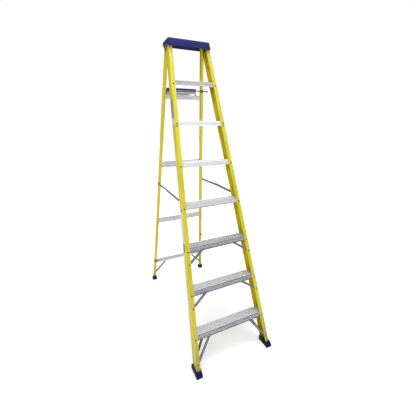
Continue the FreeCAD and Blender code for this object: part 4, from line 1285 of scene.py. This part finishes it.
def pail_shelf():
    """Pressed tray: rounded corners, rolled rim, raised ribs on the deck and a ridged front skirt."""
    low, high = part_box("pail_shelf")
    points = corners("pail_shelf")
    back_left = min(point.x for point in points if point.y > high.y - 1 * MM)
    rim_low = min(point.z for point in points if point.y > high.y - 1 * MM)
    wall = 1.6 * MM
    deck = high.z
    piece = prism(
        "shelf_tray", [(low.x, low.y), (high.x, low.y), (high.x, high.y), (back_left, high.y)], rim_low, deck,
    )
    pick("EDGE", lambda edge: rise(edge) > 5 * MM and edge_middle(edge).y > low.y + 0.05)
    round_edges(16 * MM, 6)
    pick("EDGE", lambda edge: edge_middle(edge).z > deck - 0.1 * MM)
    round_edges(2.4 * MM, 3)
    pick("FACE", lambda face: face.normal.z > 0.95)
    bpy.ops.mesh.inset(thickness=9 * MM)
    bpy.ops.mesh.inset(thickness=2 * MM)
    push((0, 0, -2.2 * MM))
    pick("FACE", lambda face: face.normal.z < -0.95)
    bpy.ops.mesh.delete(type="FACE")
    modify(piece, "SOLIDIFY", thickness=wall, offset=-1)
    parts = [piece]
    floor = deck - 2.2 * MM
    for index in range(6):
        x = low.x + 34 * MM + index * (high.x - low.x - 68 * MM) / 5
        rib = block(
            "rib", (x - 4 * MM, low.y + 24 * MM, floor - 0.4 * MM),
            (x + 4 * MM, high.y - 26 * MM, floor + 1.5 * MM),
        )
        pick("EDGE", lambda edge: rise(edge) > 0.5 * MM)
        round_edges(3.4 * MM, 4)
        pick("EDGE", lambda edge: edge_middle(edge).z > floor + 1.4 * MM)
        round_edges(1.0 * MM, 2)
        parts.append(rib)
    skirt = [
        (low.y, deck - 9 * MM), (low.y, deck - 13 * MM), (low.y + 0.7 * MM, deck - 14 * MM),
        (low.y + 0.7 * MM, deck - 19 * MM), (low.y, deck - 20 * MM), (low.y, deck - 25 * MM),
        (low.y + 0.7 * MM, deck - 26 * MM), (low.y + 0.7 * MM, deck - 31 * MM), (low.y, deck - 32 * MM),
        (low.y, low.z), (low.y + 7 * MM, low.z), (low.y + 7 * MM, low.z + wall),
        (low.y + 0.7 * MM + wall, low.z + wall), (low.y + 0.7 * MM + wall, deck - 9 * MM),
    ]
    apron = prism("apron", skirt, low.x + 0.5 * MM, high.x - 0.5 * MM, axis=0)
    soften(apron, 0.0003, 1, 40)
    parts.append(apron)
    tray = join("shelf_tray", parts)
    return dress(tray, PAINTS["shelf"], "shelf", "shelf_metal", "pail_shelf", smooth=35)


def shelf_trim():
    """Moulded edging on the front of the tray, with a deeper end block."""
    low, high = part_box("pail_shelf_trim")
    strip = block("strip", (low.x, low.y, high.z - 9 * MM), (high.x, high.y, high.z))
    pick("EDGE", lambda edge: edge_middle(edge).y < low.y + 0.1 * MM)
    round_edges(1.8 * MM, 4)
    end = block("end_block", (low.x, low.y, low.z), (low.x + 24 * MM, high.y, high.z - 2 * MM))
    pick("EDGE", lambda edge: edge_middle(edge).y < low.y + 0.1 * MM)
    round_edges(1.8 * MM, 4)
    pick("FACE", lambda face: face.normal.y < -0.99)
    bpy.ops.mesh.inset(thickness=3 * MM)
    bpy.ops.mesh.inset(thickness=0.6 * MM)
    push((0, 0.8 * MM, 0))
    piece = join("shelf_edging", [strip, end])
    return dress(piece, PAINTS["trim"], "shelf", "trim_plastic", "pail_shelf_trim")


def shelf_brackets():
    """Upright plates beside the tray, rounded at the top round the pin."""
    pin = REAR_TURN.transposed() @ JOINTS["shelf_fold"]
    for label in SIDES:
        node = "shelf_bracket_" + label
        seat = Seat(node, REAR_TURN)
        round_top = 6.8 * MM
        points = [(seat.low.y, seat.low.z), (seat.high.y, seat.low.z), (seat.high.y, seat.low.z + 16 * MM)]
        points += arc_points((pin.y, seat.high.z - round_top), round_top, 0, 180, 12)
        piece = prism("shelf_upright_" + label, points, seat.low.x, seat.high.x, axis=0)
        soften(piece, 0.0004, 2, 50)
        settle(piece, REAR_TURN)
        dress(piece, PAINTS["brace"], "rear_section", "brace_metal", node)


def shelf_pins():
    parts = []
    for group in clusters("shelf_pins", 0.05):
        seat = Seat("shelf_pins", None, group)
        centre = Vector((0, seat.middle.y, seat.middle.z))
        stud = rod("stud", beside(centre, seat.low.x), beside(centre, seat.high.x), seat.size.y / 2, 24)
        pick("FACE", lambda face: abs(face.normal.x) > 0.9)
        bpy.ops.mesh.inset(thickness=0.8 * MM)
        soften(stud, 0.0005, 3, 40)
        parts.append(stud)
    piece = join("shelf_studs", parts)
    return dress(piece, PAINTS["plated"], "shelf", "plated_steel", "shelf_pins")


def latch():
    """Round latch rod with a flanged knob, and the moulded clip that guides it."""
    low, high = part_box("latch_rod")
    radius = 5.0 * MM
    centre = Vector((0, (low.y + high.y) / 2, (low.z + high.z) / 2))
    knob_start = high.x - 15 * MM
    bar = rod("bar", beside(centre, low.x), beside(centre, knob_start + 2 * MM), radius, 32)
    soften(bar, 0.001, 3, 40)
    knob = rod("knob", beside(centre, knob_start), beside(centre, high.x), radius * 1.45, 36)
    pick("EDGE", lambda edge: edge_middle(edge).x > high.x - 0.1 * MM)
    round_edges(2.4 * MM, 4)
    pick("FACE", lambda face: abs(face.normal.x) < 0.1 and face.calc_area() > 4e-6)
    bpy.ops.mesh.inset(thickness=2.4 * MM, use_even_offset=False)
    bpy.ops.transform.resize(value=(1, 0.8, 0.8), center_override=centre)
    soften(knob, 0.0004, 2, 40)
    piece = join("latch_bar", [bar, knob])
    dress(piece, PAINTS["latch"], "rear_section", "latch_steel", "latch_rod")

    seat = Seat("latch_clip", REAR_TURN)
    clip = block("latch_guide", seat.low, seat.high)
    pick("EDGE", lambda edge: edge_middle(edge).y < seat.low.y + 0.1 * MM)
    round_edges(3.2 * MM, 5)
    pick("FACE", lambda face: abs(face.normal.z) > 0.9)
    bpy.ops.mesh.inset(thickness=2.2 * MM)
    soften(clip, 0.0004, 2, 40)
    settle(clip, REAR_TURN)
    dress(clip, PAINTS["clip"], "rear_section", "clip_plastic", "latch_clip")


pail_shelf()
shelf_trim()
shelf_brackets()
shelf_pins()
latch()


# ---------------------------------------------------------------- rail clips and blank plates


def rail_clip(label, side):
    """Spring clip that wraps the outside of a rear rail, with two gripping ridges."""
    node = "rear_clip_" + label
    rail_box = rail_seat("rear_rail_" + label)
    seat = Seat(node, rail_box.turn)
    wall = 2.2 * MM
    mouth, outer = (seat.low.x, seat.high.x) if side > 0 else (seat.high.x, seat.low.x)
    front, back = seat.low.y, seat.high.y
    inner = outer - side * wall
    points = [
        (mouth, front), (mouth, front + wall), (inner, front + wall), (inner, back - wall),
        (mouth, back - wall), (mouth, back), (outer - side * 2 * MM, back), (outer, back - 2 * MM),
    ]
    for share in (0.72, 0.28):
        middle = front + (back - front) * share
        points.extend([(outer, middle + 2 * MM), (outer - side * 0.8 * MM, middle), (outer, middle - 2 * MM)])
    points.extend([(outer, front + 2 * MM), (outer - side * 2 * MM, front)])
    piece = prism("rail_grip_" + label, points, seat.low.z, seat.high.z)
    soften(piece, 0.0005, 2, 40)
    settle(piece, rail_box.turn)
    return dress(piece, PAINTS["clip"], "rear_section", "clip_plastic", node)


for label, side in SIDES.items():
    rail_clip(label, side)


def blank_plates():
    """Thin film plates with rounded corners on the left rail."""
    turn = rail_seat("front_rail_left").turn
    plates = []
    for group in clusters("rail_plates", 0.22):
        seat = Seat("rail_plates", turn, group)
        plate = block("plate", seat.low, seat.high)
        pick("EDGE", lambda edge: rise(edge, 0) > 0.2 * MM)
        round_edges(3 * MM, 4)
        soften(plate, 0.00012, 1, 40)
        settle(plate, turn)
        plates.append(plate)
    piece = join("blank_plates", plates)
    return dress(piece, PAINTS["film"], "front_section", "plate_film", "rail_plates")


blank_plates()


# ---------------------------------------------------------------- floor, light and camera

CAMERA_PLACE = (-0.7804, -2.1434, 1.6817)
CAMERA_TURN = (27.71, -14.35, -0.63)  # yaw, pitch and roll in degrees


def floor_and_light():
    clear_selection()
    bpy.ops.mesh.primitive_plane_add(size=60, location=(0, 0, -0.0002))
    floor = bpy.context.object
    floor.name = "floor"
    floor.data.materials.append(studio_floor("studio_floor"))

    # A room that is dim near the floor and brighter overhead, in front of a white backdrop.
    world = bpy.data.worlds.new("studio")
    bpy.context.scene.world = world
    world.use_nodes = True
    nodes, links = world.node_tree.nodes, world.node_tree.links
    background = nodes["Background"]
    place = nodes.new("ShaderNodeTexCoord")
    parts = nodes.new("ShaderNodeSeparateXYZ")
    ramp = nodes.new("ShaderNodeMapRange")
    rays = nodes.new("ShaderNodeLightPath")
    seen = nodes.new("ShaderNodeMath")
    seen.operation = "MAXIMUM"
    links.new(place.outputs["Generated"], parts.inputs[0])
    links.new(parts.outputs["Z"], ramp.inputs["Value"])
    for label, value in (("From Min", 0.0), ("From Max", 0.9), ("To Min", 0.30), ("To Max", 0.42)):
        ramp.inputs[label].default_value = value
    links.new(ramp.outputs["Result"], seen.inputs[0])
    links.new(rays.outputs["Is Camera Ray"], seen.inputs[1])
    links.new(seen.outputs[0], background.inputs["Strength"])
    background.inputs["Color"].default_value = (1.0, 1.0, 1.0, 1)

    # Each lamp: name, place, the point it faces, width in metres and watts.
    for name, place, aim, size, power in (
        ("key_light", (-2.6, -3.4, 4.4), (0, -0.2, 1.3), 1.6, 43),
        ("cap_light", (1.7, -2.6, 4.6), (0, 0, 1.7), 2.2, 43),
        ("rear_light", (1.2, 4.2, 3.8), (0, 0, 1.3), 2.6, 28),
        ("top_light", (-0.4, -0.9, 5.4), (0, -0.3, 0), 2.4, 92),
    ):
        lamp = bpy.data.lights.new(name, "AREA")
        lamp.size = size
        lamp.energy = power
        light = bpy.data.objects.new(name, lamp)
        bpy.context.scene.collection.objects.link(light)
        light.location = place
        light.rotation_euler = (Vector(aim) - Vector(place)).to_track_quat("-Z", "Y").to_euler()


def camera():
    """Standing height, from the left of the climbing side, looking slightly down."""
    data = bpy.data.cameras.new("camera")
    view = bpy.data.objects.new("camera", data)
    bpy.context.scene.collection.objects.link(view)
    yaw, pitch, roll = (math.radians(angle) for angle in CAMERA_TURN)
    forward = Vector((math.sin(yaw) * math.cos(pitch), math.cos(yaw) * math.cos(pitch), math.sin(pitch)))
    level = Vector((math.cos(yaw), -math.sin(yaw), 0))
    upright = level.cross(forward)
    right = level * math.cos(roll) + upright * math.sin(roll)
    above = upright * math.cos(roll) - level * math.sin(roll)
    view.matrix_world = Matrix.Translation(CAMERA_PLACE) @ Matrix(
        (right, above, -forward)
    ).transposed().to_4x4()
    data.sensor_width = 36
    data.lens = 23.28
    data.shift_x = -0.0538
    data.shift_y = -0.0312
    bpy.context.scene.camera = view


floor_and_light()
camera()
bpy.context.scene.view_settings.view_transform = "Standard"
